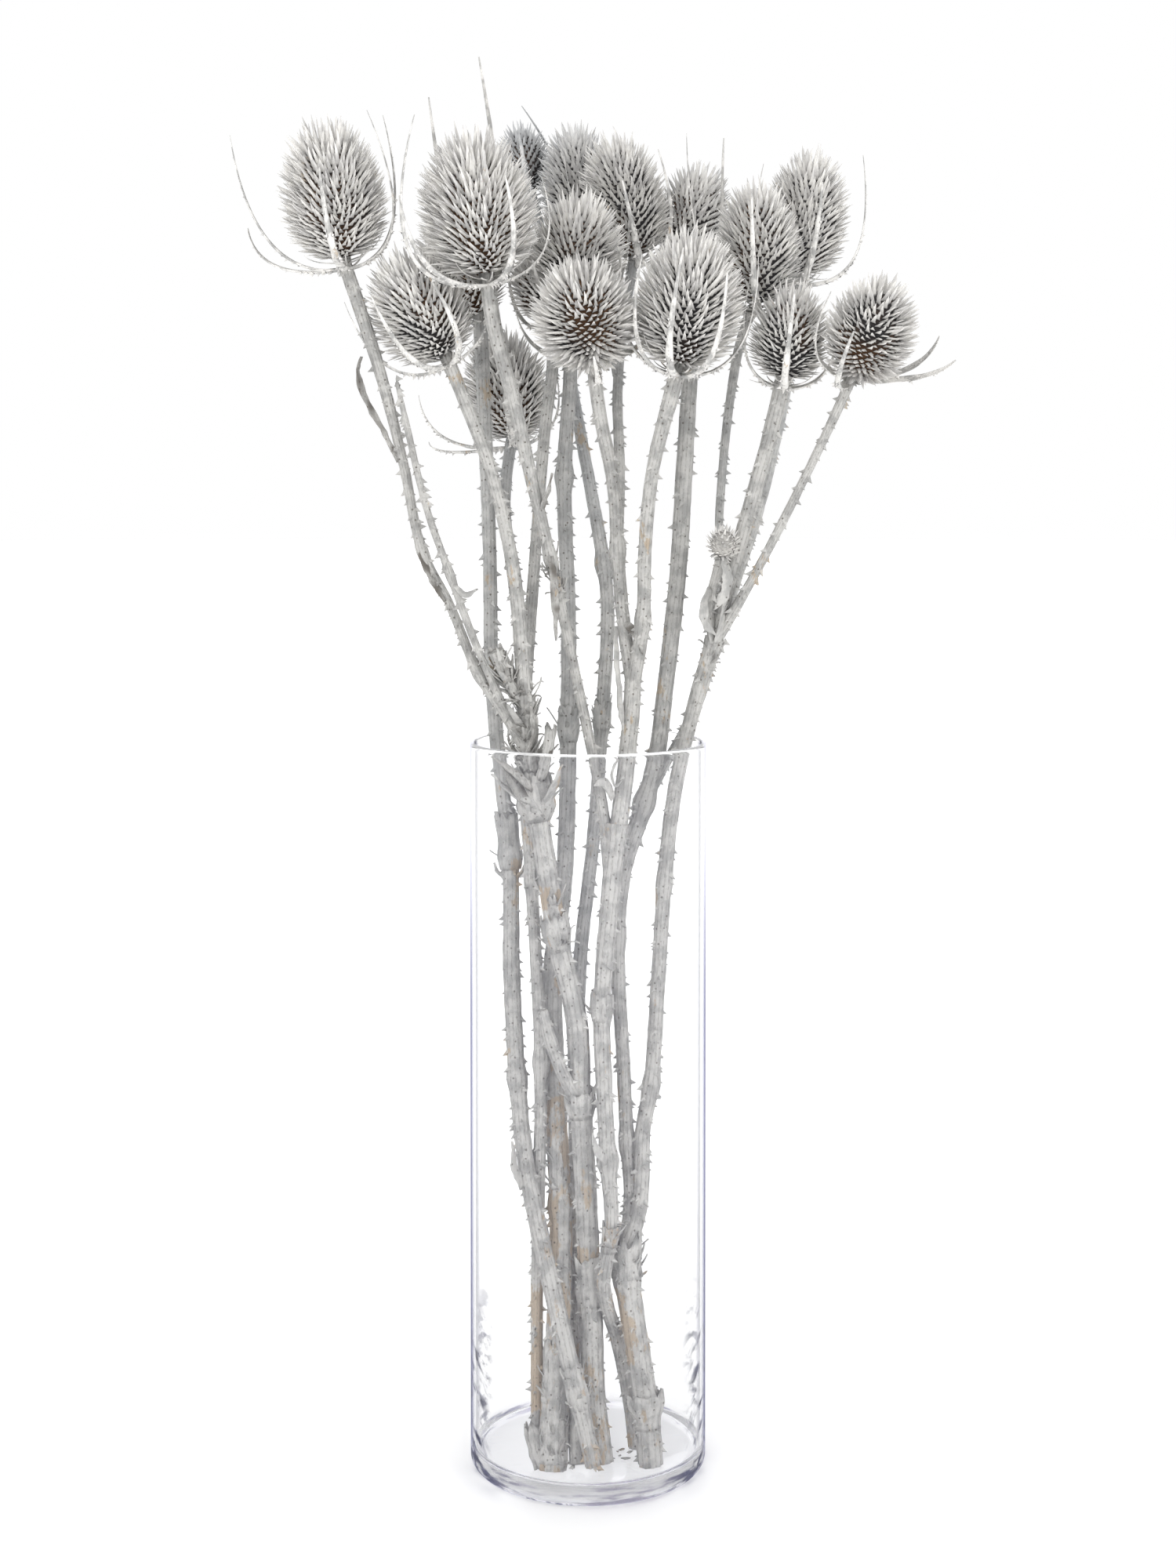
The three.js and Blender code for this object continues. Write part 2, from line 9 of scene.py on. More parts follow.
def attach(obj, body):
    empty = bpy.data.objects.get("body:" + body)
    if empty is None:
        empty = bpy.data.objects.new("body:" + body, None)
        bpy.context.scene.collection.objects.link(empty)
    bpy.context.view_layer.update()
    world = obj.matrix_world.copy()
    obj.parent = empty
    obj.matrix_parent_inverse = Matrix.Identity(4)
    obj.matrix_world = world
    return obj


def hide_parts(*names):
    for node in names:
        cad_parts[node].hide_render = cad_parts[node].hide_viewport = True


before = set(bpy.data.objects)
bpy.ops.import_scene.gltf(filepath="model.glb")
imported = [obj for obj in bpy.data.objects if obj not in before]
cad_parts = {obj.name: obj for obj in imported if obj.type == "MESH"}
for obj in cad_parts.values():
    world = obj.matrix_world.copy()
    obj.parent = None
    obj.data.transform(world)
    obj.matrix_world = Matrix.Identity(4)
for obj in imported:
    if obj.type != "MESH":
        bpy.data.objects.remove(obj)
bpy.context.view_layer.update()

# The photograph's frame, in its pixels and in the camera's millimetres
IMAGE_LONG_SIDE = 2000
FOCAL_PIXELS = 3114
SENSOR = 36
CAMERA_SHIFT = -0.17
CAMERA_TILT = math.radians(1.43)
CAMERA_HEIGHT = 0.5146

# Where the eye stands, in metres like every size below
EYE_DISTANCE = 1.24
EYE_HEIGHT = 0.551
MM = 0.001

# The vase
VASE_RADIUS = 0.060
VASE_HEIGHT = 0.370
VASE_WALL = 0.0025
VASE_FLOOR = 0.010
HEEL_RADIUS = 0.006
INNER_CORNER = 0.004
CORNER_GUARD = 0.0015  # where a flat face begins beyond a rounded corner
VASE_STEPS = 160
ARC_STEPS = 8
FOOT_GAP = 0.0003

# Stalks
RIBS = 10
STATION = 0.0032
RIB_DEPTH = 0.075
STALK_SLIMNESS = 0.88
STALK_TWIST = 0.012
SWELLING_REACH = 0.009
STALK_LUMPS = 0.075
LUMP_SCALES = ((95, 1), (260, 0.6), (620, 0.5))  # lumps a metre, and how strong they are

# Prickles
PRICKLE_SPACING = 0.0021
PRICKLE_HEIGHT = (0.0014, 0.0032)
PRICKLE_START = 0.003  # above the vase's floor
PRICKLE_SINK = 0.98
PRICKLE_DROOP = (0.1, 0.6)
PRICKLE_TONE = 0.2
PRICKLE_STATIONS = ((-0.3, 0.55, 0.7), (0.35, 0.24, 0.3), (1.0, 0.03, 0.03))

# Sheaths: torn sleeves of old leaf base
SHEATH_THICKNESS = 0.0007
SHEATH_GRIP = 1.05
SHEATH_FLARE = 1.6
SHEATH_RUFFLE = 0.05
SHEATH_RUFFLE_SCALE = 330
TEAR_COARSE = 420
TEAR_FINE = 1400

# Flakes: torn strips round a joint, sized by their length
FLAKE_SPACING = 0.0014  # along a sheath, for each torn flake on it
FLAKE_LENGTH = (0.004, 0.012)
FLAKE_THICKNESS = 0.00035
FLAKE_STATIONS = 7
FLAKE_WITHERING = (0.0, 0.0, 1.5)
FLAKE_SINK = 0.8
FLAKE_RISE = (0.1, 0.8)
FLAKE_SPREAD = (0.25, 0.55)
FLAKE_TIP_RISE = (-0.3, 0.5)
FLAKE_TIP_SPREAD = (-0.3, 0.35)
FLAKE_HALF_WIDTH = (0.12, 0.26)
FLAKE_ROOT = 1.15
FLAKE_RAGGED = (0.7, 1.1)
FLAKE_TWIST = (-0.2, 0.2)
SOFT_PULL = 0.6  # how far the curve of a flake or small bract is drawn to its swing
THIN_SIDES = 6

# Leaf scraps, hollow stubs and crumbs
SCRAP_THICKNESS = 0.0006
SCRAP_STEPS = 6
SCRAP_SIDES = 12
SCRAP_TWIST = 0.03
SCRAP_RAGGED = (0.82, 1.08)
SCRAP_CRUMPLE = 240
WITHERED = 1.6  # a groove value part way between the two of HOLE_GROOVES
WITHERED_PATCHES = 180
STUB_DEPTH = 2  # stations from a stub's torn mouth down to the dark plug in it, painted shade in the hollow
STUB_TEAR = 0.004
STUB_CRUMPLE = 260
# How wide the dark plug of painted shade in a stub is, as a share of the stub
SHADE_PLUG_SHARE = 0.9
CRUMB_SIZE = (0.0005, 0.0013)
CRUMB_STRETCH = 2
CRUMB_FLATNESS = 0.35
CRUMB_LUMPS = 0.4
CRUMB_LUMP_SCALE = 1.7

# Heads
SPINE_SHARE = 0.2  # a spine's length as a share of the head's width
SPINE_STAND_OFF = 0.85
SPINE_RISE = 0.5
FOOT_LIFT = 0.45  # how much less the lowest spines droop
TUFT_EXTRA = 0.45
EGG_FOOT_ANGLE = 0.2
EGG_CROWN_ANGLE = 0.12
EGG_SPAN = math.pi - EGG_CROWN_ANGLE - EGG_FOOT_ANGLE
EGG_FULLNESS = 0.12
EGG_STEPS = 240
CORE_SHARE = 0.97
SPINE_CELL = 6.8e-6  # square metres of the core for each spine
SPINE_WIDTH = 0.0140
SMALL_HEAD = 40  # millimetres across, below which the spines get finer
SPINE_LENGTHS = (0.68, 1.08)
SPINE_WANDER = 0.09
SPINE_KINDS = 8
SPINE_STATIONS = (
    (0.0, 0.13, 0.08), (0.14, 0.11, 0.075), (0.32, 0.074, 0.062), (0.7, 0.052, 0.046), (1.0, 0.008, 0.008),
)
GOLDEN_ANGLE = math.pi * (3 - math.sqrt(5))
CORE_SHADE = 1  # places in a head's list of materials
BRACT_PAINT = 2

# The long bracts under a head, and the short ones round its foot
BRACT_DROP = 0.005
BRACT_CLEARANCE = 0.6
BRACT_BULGE = 0.9
BRACT_HALF_WIDTH = (0.0027, 0.0004)
BRACT_TAPER = 0.7
BRACT_WAVE = 0.1
BRACT_WAVES = 23
BRACT_STATIONS = 26
BRACT_PRICKLES = 22
BRACT_PRICKLE_HEIGHT = (0.5, 0.9)
BLADE_CHANNEL = 0.16
BLADE_KEEL = 0.62
SMALL_BRACTS = 9
SMALL_BRACT_STATIONS = 9
SMALL_BRACT_HALF_WIDTH = (0.0011, 0.00018)
SMALL_BRACT_DROP = (0.001, 0.005)
SMALL_BRACT_REACH = (0.16, 0.36)
SMALL_BRACT_RISE = (0.1, 0.9)

# Light and floor. A lamp is its name, place, target, size and power. The mirrored share of the
# surroundings is a little darker than the rest.
WHITE = (1, 1, 1, 1)
SURROUNDINGS = 0.92
MIRRORED = 0.85
FLOOR_RADIUS = 14
FAR_GLOW = 0.25
LAMPS = (
    ("key", (-0.8, -2.2, 1.8), (0, 0, 0.42), 1.6, 24),
    ("fill", (1.7, -1.7, 1.0), (0, 0, 0.42), 1.6, 14),
    ("back", (0.3, 2.0, 1.8), (0, 0, 0.5), 1.8, 8),
)

# Paint, in linear colours and in patterns a metre
CHALK = (0.60, 0.592, 0.57, 1)
CHALK_SHADE = (0.39, 0.387, 0.378, 1)
# Painted shade: the paint turns cooler and darker towards the back of the bunch, which lies in the shade of
# the stems in front
CHALK_BACK_SHADE = (0.49, 0.51, 0.535, 1)
BARE_TAN = (0.50, 0.395, 0.28, 1)
SPINE_CHALK = (0.82, 0.805, 0.775, 1)
SPINE_SHADE = (0.62, 0.61, 0.60, 1)
# Painted shade: the near-black deep between the spines, on their roots and on the core
GAP_PAINTED_SHADE = (0.055, 0.053, 0.055, 1)
BROWN_GAP = (0.13, 0.075, 0.045, 1)
# The dark of grooves, specks, crumbs and withered places, and of the painted shade in hollow stubs and bract
# channels
GROOVE_DARK = (0.12, 0.105, 0.09, 1)
BARE_PLACES = 0.13  # how much sooner the paint chips in a bare stretch
# How far the painted shade at the back of the bunch goes towards its colour
BACK_SHADE_SHARE = 0.6
CHIPPED = 0.75
CHIP_EDGE = 0.035
WORN_LOW = 0.05
WORN_HEIGHTS = (0.26, 0.08)
FIBRE_STRETCH = (1, 1, 0.12)
TEAR_STRETCH = (1, 1, 0.4)
FIBRE_SCALE = 900
MOTTLE_SCALE = 130
TEAR_SCALE = 75
SCAR_SCALE = 280
SCAR_EDGE = (0.2, 0.09)
GRAIN_SCALE = 1500
GRAIN_DEPTH = 0.0009
GROOVE_SCALE = 1300
HOLE_GROOVES = (1.2, 2.0)  # groove values where a place starts to darken and where it is as dark as a hole, as the painted shade in a stub is
HOLE_DARKNESS = 0.85
# The share of a spine's length, from its root, that is darkened as painted shade
SPINE_ROOT_SHADE = 0.16
CHANNEL_SHADOW = 0.42
BROWN_SCALE = 22
CORE_SCALE = 600
# In each finish, the depths behind the axis where the painted shade at the back of the bunch begins and
# where it is full
STALK_FINISH = {"Scars": 0.8, "Chipping": 0.62, "Back shade from": -0.012, "Back shade to": 0.05}
SPINE_FINISH = {
    "Chalk": SPINE_CHALK, "Shade": SPINE_SHADE, "Cavity colour": GAP_PAINTED_SHADE, "Chipping": 0.66,
    "Scars": 0.0, "Back shade from": 0.03, "Back shade to": 0.085,
}
BRACT_FINISH = {"Chalk": SPINE_CHALK, "Chipping": 0.62, "Scars": 0.2, "Back shade from": 0.03, "Back shade to": 0.085}

# Glass. Its violet-grey edges are painted reflection of darker surroundings and partly the tint of glass
# seen at a slant; the dark streaks low down and the lilac marks in its base are painted reflection; the rim
# and the floor inside glow as painted light.
GLASS_CLEAR = (0.995, 0.996, 1.0, 1)
# Painted reflection on the glass's edges, partly the tint of glass seen at a slant
GLASS_EDGE = (0.86, 0.865, 0.93, 1)
GLASS_EDGE_LOW = (0.33, 0.34, 0.50, 1)
# Painted reflection: dark streaks low on the sides and in the base, lilac in the middle of the base
GLASS_STREAK_REFLECTION = (0.16, 0.165, 0.27, 1)
GLASS_BASE_REFLECTION = (0.55, 0.53, 0.64, 1)
GLASS_SHEEN = (0.62, 0.62, 0.74, 1)
GLASS_IOR = 1.47
EDGE_FACING = (0.7, 0.9)
VIOLET_HEIGHTS = (0.34, 0.22)  # metres up, from clear edges down to violet ones
PALE_HEEL_HEIGHTS = (0.002, 0.022)
STREAK_HEIGHTS = (0.11, 0.045)  # where the painted reflection streaks on the sides begin and are full
STREAK_SHIFT = 0.3  # makes the left streaks unlike the right ones
SIDE_STREAK_STRETCH = (1, 0.12, 0.3)
SIDE_STREAK_LEAN = math.radians(-28)
SIDE_STREAK_SCALE = 300
SIDE_STREAK_EDGE = (0.48, 0.66)
SIDE_STREAK_FACING = (0.46, 0.66)
BASE_STREAK_STRETCH = (0.2, 0.3, 1.6)
BASE_STREAK_SCALE = 170
BASE_STREAK_EDGE = (0.45, 0.65)
# How much the painted reflection on edges and streaks darkens what is seen through the glass
TINT_SHARE = 0.8
# Painted light: the rim glows as a painted highlight, and the floor inside the vase glows to stand in for
# the light that reaches it
RIM_PAINTED_GLOW = 0.45
FLOOR_PAINTED_GLOW = 0.12

# One row for each stem that was cut, in millimetres as seen from the front. A point is across, up,
# depth behind the vase's axis and radius. A swelling is the number of a point and how many times
# thicker the stalk is there. A sheath is its lower and upper height, how many times wider it gets and
# how deep its edge is torn. A torn stretch is its heights, the number of its flakes and their size, and
# a bare one its heights and how much of its paint is gone. A bract is its bearing in degrees from +X
# round to +Y, its reach out, its rise along the head and the curl of its tip. Scraps, withered scraps
# and stubs are rows of points, and a crumb is across and depth.
STEMS = [{
    "name": "teasel_centre_left",
    "stalks": [{
        "points": [
            (7, -2, -30, 6.4), (3, 35, -24, 6.2), (1, 87, -18, 6.2), (-2, 155, -20, 6), (-4, 183, -22, 6),
            (-6, 227, -23, 5.8), (-16, 271, -22, 5.6), (-22, 311, -21, 5.6), (-26, 335, -20, 5.6),
            (-32, 369, -18, 5.2),
        ],
        "swellings": [(2, 1.25), (4, 1.25), (6, 1.25), (8, 1.6)],
        "sheaths": [(84, 110, 1.34, 5), (182, 198, 1.3, 3), (264, 286, 1.3, 4), (329, 350, 1.7, 9)],
        "torn": [(262, 300, 26, 1.1), (326, 369, 90, 1.5)],
        "bare": [(104, 118, 0.9), (268, 300, 1), (330, 369, 0.6)],
    }, {
        "points": [
            (-31, 364, -18, 4), (-41, 381, -20, 3), (-56, 404, -22, 2.7), (-71, 440, -28, 2.3),
            (-84, 465, -32, 2.5), (-94, 511, -36, 2.7), (-106, 558, -40, 3.2), (-124, 613, -42, 3.6),
        ],
        "swellings": [(2, 1.35), (4, 1.3)],
    }, {
        "points": [
            (-31, 364, -18, 4.6), (-33, 403, -22, 4), (-38, 456, -26, 3.6), (-49, 505, -36, 3.6),
            (-63, 543, -36, 3.6), (-73, 567, -34, 3.6),
        ],
        "torn": [(366, 402, 50, 1.4)],
    }, {
        "points": [
            (-33, 412, -22, 3), (-38, 451, -10, 3), (-42, 487, 14, 3), (-41, 509, 32, 3.2),
            (-38, 529, 43, 3.2),
        ],
    }, {
        "points": [(-4, 183, -22, 4), (-11, 195, -28, 3.6), (-19, 215, -32, 3.4), (-23, 231, -33, 2.6)],
    }, {
        "points": [
            (-40, 380, -20, 2.4), (-57, 418, -30, 2), (-70, 453, -38, 1.9), (-82, 487, -42, 1.8),
            (-92, 529, -43, 1.8), (-97, 551, -44, 1),
        ],
        "swellings": [(2, 1.4)],
    }, {
        "points": [(-33, 388, -20, 3), (-42, 402, -25, 3), (-47, 415, -28, 4.4)],
        "torn": [(390, 416, 44, 1.4)],
    }],
    "heads": [{
        "base": (-124, 614, -42), "tip": (-136, 689, -46), "width": 54,
        "bracts": [
            (180, 45, 67, 1), (168, 46, 22, 1), (0, 27, 69, 0.7), (15, 34, 66, 0.9), (265, 30, 45, 0.8),
            (90, 32, 48, 0.9),
        ],
    }, {
        "base": (-73, 565, -33), "tip": (-103, 620, -38), "width": 52,
        "bracts": [
            (190, 34, 46, 0.9), (235, 34, 42, 0.9), (300, 26, 36, 0.9), (0, 26, 22, 1), (90, 26, 40, 0.9),
        ],
    }, {
        "base": (-38, 526, 42), "tip": (-47, 584, 50), "width": 49,
        "bracts": [
            (180, 44, 4, 1), (190, 46, 28, 1), (0, 26, 38, 0.9), (270, 24, 34, 0.9), (90, 24, 34, 0.9),
        ],
    }],
    "scraps": [
        [(-24, 333, -25, 4), (-17, 346, -30, 3.6), (-13, 357, -31, 1.4)],
        [(-69, 449, -38, 1.6), (-62, 443, -41, 2), (-56, 446, -42, 1)],
        [(-28, 338, -27, 2.6), (-40, 344, -31, 2.6), (-48, 352, -33, 1)],
    ],
    "withered": [
        [
            (-96, 511, -37, 1.6), (-105, 528, -40, 1.9), (-113, 543, -42, 3), (-116.5, 554, -43, 3.2),
            (-115, 564, -43, 1.8),
        ],
        [(-73, 440, -31, 1.2), (-79, 451, -33, 2.2), (-84, 461, -34, 2.2), (-86, 468, -33, 1)],
        [(-26, 333, -24, 4), (-36, 346, -30, 4.4), (-44, 358, -29, 1.6)],
        [(-28, 345, -27, 3), (-36, 352, -31, 3), (-48, 361, -33, 1.2)],
        [(-31, 362, -24, 2.4), (-27, 374, -28, 3), (-30, 388, -29, 1.2)],
    ],
    "stubs": [
        [(-24, 350, -24, 3.2), (-21, 361, -28, 3), (-19, 376, -30, 3.2)],
    ],
}, {
    "name": "teasel_far_left",
    "stalks": [{
        "points": [
            (3, -4, -46, 4.6), (-5, 31, -44, 4.6), (-10, 52, -40, 4.8), (-19, 92, -34, 4.8),
            (-31, 150, -20, 4.6), (-36, 197, -8, 4.6), (-39, 251, 2, 4.6), (-40, 311, 12, 4.4),
            (-45, 355, 16, 4.1), (-49, 407, 17, 3.9), (-50, 467, 15, 3.9), (-53, 547, 13, 3.9),
            (-55, 591, 17, 4),
        ],
        "swellings": [(1, 1.25), (5, 1.25), (7, 1.35)],
        "sheaths": [(44, 62, 1.3, 3), (300, 330, 1.4, 5)],
    }],
    "heads": [{
        "base": (-55, 587, 17), "tip": (-82, 636, 21), "width": 48,
        "bracts": [(180, 26, 40, 0.9), (90, 26, 38, 0.9), (300, 20, 30, 0.9)],
    }],
    "scraps": [
        [(-33, 140, -25, 2), (-37, 150, -27, 3), (-38, 164, -27, 1.2)],
        [(-42, 300, 10, 1.6), (-46, 303, 9, 1.4), (-48, 308, 9, 0.8)],
        [(-37, 300, 10, 1.6), (-34, 303, 9, 1.4), (-32, 308, 9, 0.8)],
    ],
}, {
    "name": "teasel_thin",
    "stalks": [{
        "points": [
            (-26, 14, -26, 3.2), (-26, 52, -20, 3.2), (-26, 91, -12, 3.2), (-25, 142, -14, 3.4),
            (-24, 205, -13, 3.6), (-27, 267, -7, 3.2), (-29, 299, 0, 3.4), (-33, 355, 11, 3),
            (-31, 403, 9, 3), (-28, 449, 2, 3.2), (-22, 527, -2, 3.2), (-18, 563, 10, 3.2),
            (-20, 591, 25, 3.2),
        ],
        "swellings": [(4, 1.3), (6, 1.3)],
        "bare": [(12, 96, 0.5)],
    }],
    "heads": [{
        "base": (-20, 587, 24), "tip": (-27, 629, 34), "width": 40,
        "bracts": [(20, 22, 36, 0.9), (90, 22, 34, 0.9), (140, 22, 34, 0.9)],
    }],
    "stubs": [
        [(-21, -3, -34, 7.4), (-25, 7, -31, 6.3), (-27, 18, -29, 6.3)],
    ],
}, {
    "name": "teasel_middle",
    "stalks": [{
        "points": [
            (-18, -6, -38, 7.6), (-16, 51, -26, 6.4), (-14, 91, -16, 6.4), (-14, 131, -12, 6.2),
            (-17, 196, -3, 5.8), (-18, 251, 2, 5.4), (-12, 304, 10, 4.8), (-10, 376, 20, 4.4),
            (-10, 435, 20, 4.2), (-12, 505, 16, 4.1), (-9, 555, 12, 3.8), (-8, 600, -12, 3.7),
        ],
        "swellings": [(3, 1.2), (7, 1.3), (9, 1.35)],
        "sheaths": [(14, 68, 1.14, 6), (364, 384, 1.35, 4)],
        "torn": [(14, 36, 26, 0.8), (138, 160, 16, 0.9)],
        "bare": [(12, 40, 0.9), (80, 190, 1)],
    }],
    "heads": [{
        "base": (-8, 595, -12), "tip": (-2, 653, -22), "width": 52,
        "bracts": [(150, 27, 42, 0.9), (30, 26, 40, 0.9), (90, 26, 40, 0.9)],
    }],
}, {
    "name": "teasel_rear",
    "stalks": [{
        "points": [
            (-5, -3, -37, 4.4), (-7.5, 40, -19, 4.1), (-8, 67, -9, 4.2), (-6, 115, 0, 4.4),
            (-6, 187, 10, 4.2), (-4, 258, 18, 3.9), (3, 323, 16, 3.7), (7, 379, 13, 3.6),
            (10, 435, 12, 3.8), (8, 460, 15, 3.8), (1, 501, 30, 3.4), (-6, 539, 44, 3.2),
            (-13, 579, 60, 3), (-20, 615, 72, 2.8), (-30, 655, 83, 2.8),
        ],
        "swellings": [(7, 1.3), (9, 1.4)],
        "sheaths": [(372, 388, 1.35, 3)],
    }],
    "heads": [{
        "base": (-30, 651, 82), "tip": (-36, 688, 88), "width": 32,
        "bracts": [(20, 14, 48, 0.2), (150, 14, 30, 0.9), (270, 14, 28, 0.9)],
    }],
}, {
    "name": "teasel_right",
    "stalks": [{
        "points": [
            (32, -3, -30, 6.8), (29, 29, -28, 6.6), (23, 71, -24, 6.6), (20, 94, -21, 6.8),
            (19, 111, -20, 6.8),
        ],
        "swellings": [(1, 1.3), (3, 1.2)],
        "sheaths": [(26, 44, 1.3, 3), (99, 122, 1.35, 6)],
        "torn": [(96, 124, 22, 0.9)],
        "bare": [(62, 96, 0.6)],
    }, {
        "points": [
            (19, 106, -20, 4.4), (22, 135, -13, 4), (20, 164, -8, 3.8), (18, 205, -4, 3.8),
            (15, 270, 2, 4.2), (18, 303, 5, 4.6), (29, 339, 8, 5), (35, 363, 8, 4.8), (39, 394, 8, 4.6),
            (46, 459, 4, 4.6), (49, 511, 2, 4.6), (52, 563, 14, 4.4), (52, 601, 33, 4), (47, 622, 45, 4),
        ],
        "swellings": [(2, 1.3), (4, 1.2), (6, 1.35)],
    }, {
        "points": [
            (29, 339, 8, 3), (41, 361, 17, 2.8), (57, 392, 18, 2.6), (65, 427, 16, 2.4),
            (67, 491, 14, 2.4), (72, 543, 12, 2.4), (78, 575, 2, 2.6), (87, 596, -10, 2.8),
        ],
    }, {
        "points": [
            (19, 106, -20, 5), (26, 132, -16, 4.6), (28, 171, -10, 4.2), (32, 193, -8, 4.3),
            (36, 251, -4, 4), (39, 298, -2, 4), (44, 343, -2, 4), (55, 391, -4, 4.2), (65, 422, -5, 4.8),
        ],
        "swellings": [(3, 1.25), (5, 1.2), (8, 1.25)],
        "torn": [(404, 424, 20, 0.6)],
    }, {
        "points": [
            (64, 419, -5, 4.2), (72, 451, -12, 4), (83, 491, -20, 4.1), (93, 527, -26, 4.2),
            (100, 557, -30, 4.4),
        ],
    }, {
        "points": [
            (64, 419, -5, 3.8), (75, 453, 4, 3.6), (87, 491, 12, 3.6), (98, 539, 22, 3.6),
            (104, 577, 27, 3.6), (108, 612, 31, 3.8),
        ],
    }, {
        "points": [
            (64, 419, -5, 3.4), (82, 449, -18, 2.4), (96, 475, -26, 2.4), (120, 523, -36, 2.4),
            (137, 560, -42, 2.8),
        ],
    }, {
        "points": [(64, 419, -5, 3.2), (62, 440, -12, 2.4), (65, 453, -18, 2.6), (68, 464, -21, 2.8)],
    }],
    "heads": [{
        "base": (46, 619, 46), "tip": (62, 667, 57), "width": 42,
        "bracts": [(60, 20, 38, 0.9), (0, 18, 44, 0.9), (120, 20, 38, 0.9)],
    }, {
        "base": (87, 592, -10), "tip": (85, 658, -14), "width": 47,
        "bracts": [(175, 34, 86, 1), (130, 20, 84, 0.8), (260, 26, 56, 0.8), (0, 24, 40, 0.9)],
    }, {
        "base": (107, 608, 30), "tip": (115, 675, 36), "width": 47,
        "bracts": [
            (0, 34, 66, 0.75), (350, 30, 30, 1), (170, 20, 56, 0.9), (280, 22, 44, 0.9),
            (90, 22, 44, 0.9),
        ],
    }, {
        "base": (100, 554, -28), "tip": (106, 605, -40), "width": 42,
        "bracts": [(180, 24, 48, 0.9), (265, 24, 48, 0.9), (0, 26, 42, 0.9), (90, 22, 40, 0.9)],
    }, {
        "base": (136, 557, -40), "tip": (154, 604, -78), "width": 47,
        "bracts": [
            (10, 44, 12, 1.1), (20, 38, 22, 1), (250, 30, 40, 0.9), (180, 28, 44, 0.9), (90, 26, 40, 0.9),
        ],
    }, {
        "base": (68, 464, -20), "tip": (70, 480, -29), "width": 19,
    }],
    "scraps": [
        [(64, 420, -9, 3), (61, 432, -15, 4), (57, 440, -18, 2)],
        [(66, 420, -10, 3), (69, 434, -14, 3.4), (70, 445, -15, 1.4)],
        [(69, 463, -24, 2.4), (71, 453, -27, 3.2), (69, 443, -27, 3.2), (64, 436, -24, 1.4)],
        [(62, 447, -18, 1.8), (59, 437, -22, 3.2), (60, 429, -21, 2.6), (65, 423, -17, 1.4)],
    ],
}, {
    "name": "teasel_front",
    "stalks": [{
        "points": [
            (25, -1, -8, 3.8), (21, 33, -10, 3.8), (15, 62, -14, 3.8), (8, 89, -29, 3.8),
            (12, 122, -33, 3.8), (10, 154, -32, 4.2), (8, 196, -28, 4.4), (7, 232, -25, 4.6),
            (10, 275, -22, 5), (15, 327, -18, 5.4),
        ],
        "swellings": [(5, 1.5), (7, 1.25), (9, 1.25)],
        "sheaths": [(118, 132, 1.35, 3), (232, 246, 1.25, 3)],
    }, {
        "points": [(15, 322, -18, 4.8), (19, 353, -14, 4.6), (22, 384, -10, 4.6), (23, 402, -8, 4.4)],
    }, {
        "points": [
            (23, 398, -8, 4), (28, 431, -18, 3.6), (29, 467, -30, 3.6), (33, 507, -42, 3.6),
            (42, 543, -50, 4), (48, 564, -53, 4.4),
        ],
        "swellings": [(1, 1.3)],
    }, {
        "points": [
            (23, 398, -8, 4), (18, 431, -8, 3.6), (15, 467, -13, 3.6), (13, 499, -22, 3.6),
            (6, 535, -38, 3.6), (2, 565, -48, 3.6),
        ],
        "swellings": [(2, 1.3)],
    }, {
        "points": [
            (15, 463, -12, 3), (16, 507, -2, 2.9), (15, 547, 12, 2.8), (17, 575, 20, 2.8),
            (24, 621, 24, 3),
        ],
    }, {
        "points": [(15, 556, 14, 2.8), (10, 587, 38, 2.8), (-2, 628, 60, 2.8)],
    }, {
        "points": [
            (12, 294, -20, 3.8), (8, 331, -15, 3.2), (4, 354, -10, 2.8), (-6, 402, -11, 2.7),
            (-19, 462, -24, 3), (-28, 499, -34, 3.3), (-38, 543, -42, 3.8), (-48, 581, -46, 4.2),
            (-52, 610, -48, 4.2),
        ],
        "swellings": [(4, 1.35)],
        "torn": [(440, 470, 22, 0.9)],
    }],
    "heads": [{
        "base": (47, 560, -52), "tip": (56, 633, -64), "width": 57,
        "bracts": [
            (255, 30, 58, 0.7), (300, 30, 50, 0.9), (215, 32, 52, 0.9), (0, 30, 56, 0.9),
            (175, 30, 48, 1), (90, 30, 46, 0.9),
        ],
    }, {
        "base": (2, 566, -42), "tip": (-7, 611, -88), "width": 54,
        "bracts": [(180, 32, 34, 1), (0, 34, 30, 1), (270, 30, 30, 1), (60, 32, 44, 1), (120, 32, 44, 1)],
    }, {
        "base": (25, 617, 24), "tip": (10, 683, 20), "width": 47,
        "bracts": [(180, 22, 58, 0.9), (330, 24, 50, 0.9), (270, 22, 38, 0.9), (90, 22, 38, 0.9)],
    }, {
        "base": (-1, 624, 60), "tip": (-9, 688, 66), "width": 46,
        "bracts": [(0, 22, 44, 0.9), (180, 22, 40, 0.9), (90, 24, 40, 0.9)],
    }, {
        "base": (-51, 606, -48), "tip": (-63, 684, -54), "width": 61,
        "bracts": [
            (70, 20, 106, 0.9), (120, 24, 90, 0.9), (207, 46, 80, 0.55), (229, 52, 42, 1),
            (0, 30, 42, 0.9), (300, 28, 44, 0.9),
        ],
    }],
    "scraps": [
        [(13, 340, -20, 2.4), (8, 348, -26, 3), (3, 346, -28, 1.4)],
        [(10, 154, -36, 3), (4, 160, -40, 3), (2, 168, -40, 1.4)],
        [(14, 428, -11, 1.6), (14.8, 407, -13, 1.8), (16.8, 387, -14, 1.8), (18, 373, -14, 0.9)],
        [(15, 360, -18, 0.9), (12, 352, -22, 0.7), (14, 346, -23, 0.6), (17, 349, -22, 0.4)],
    ],
    "withered": [
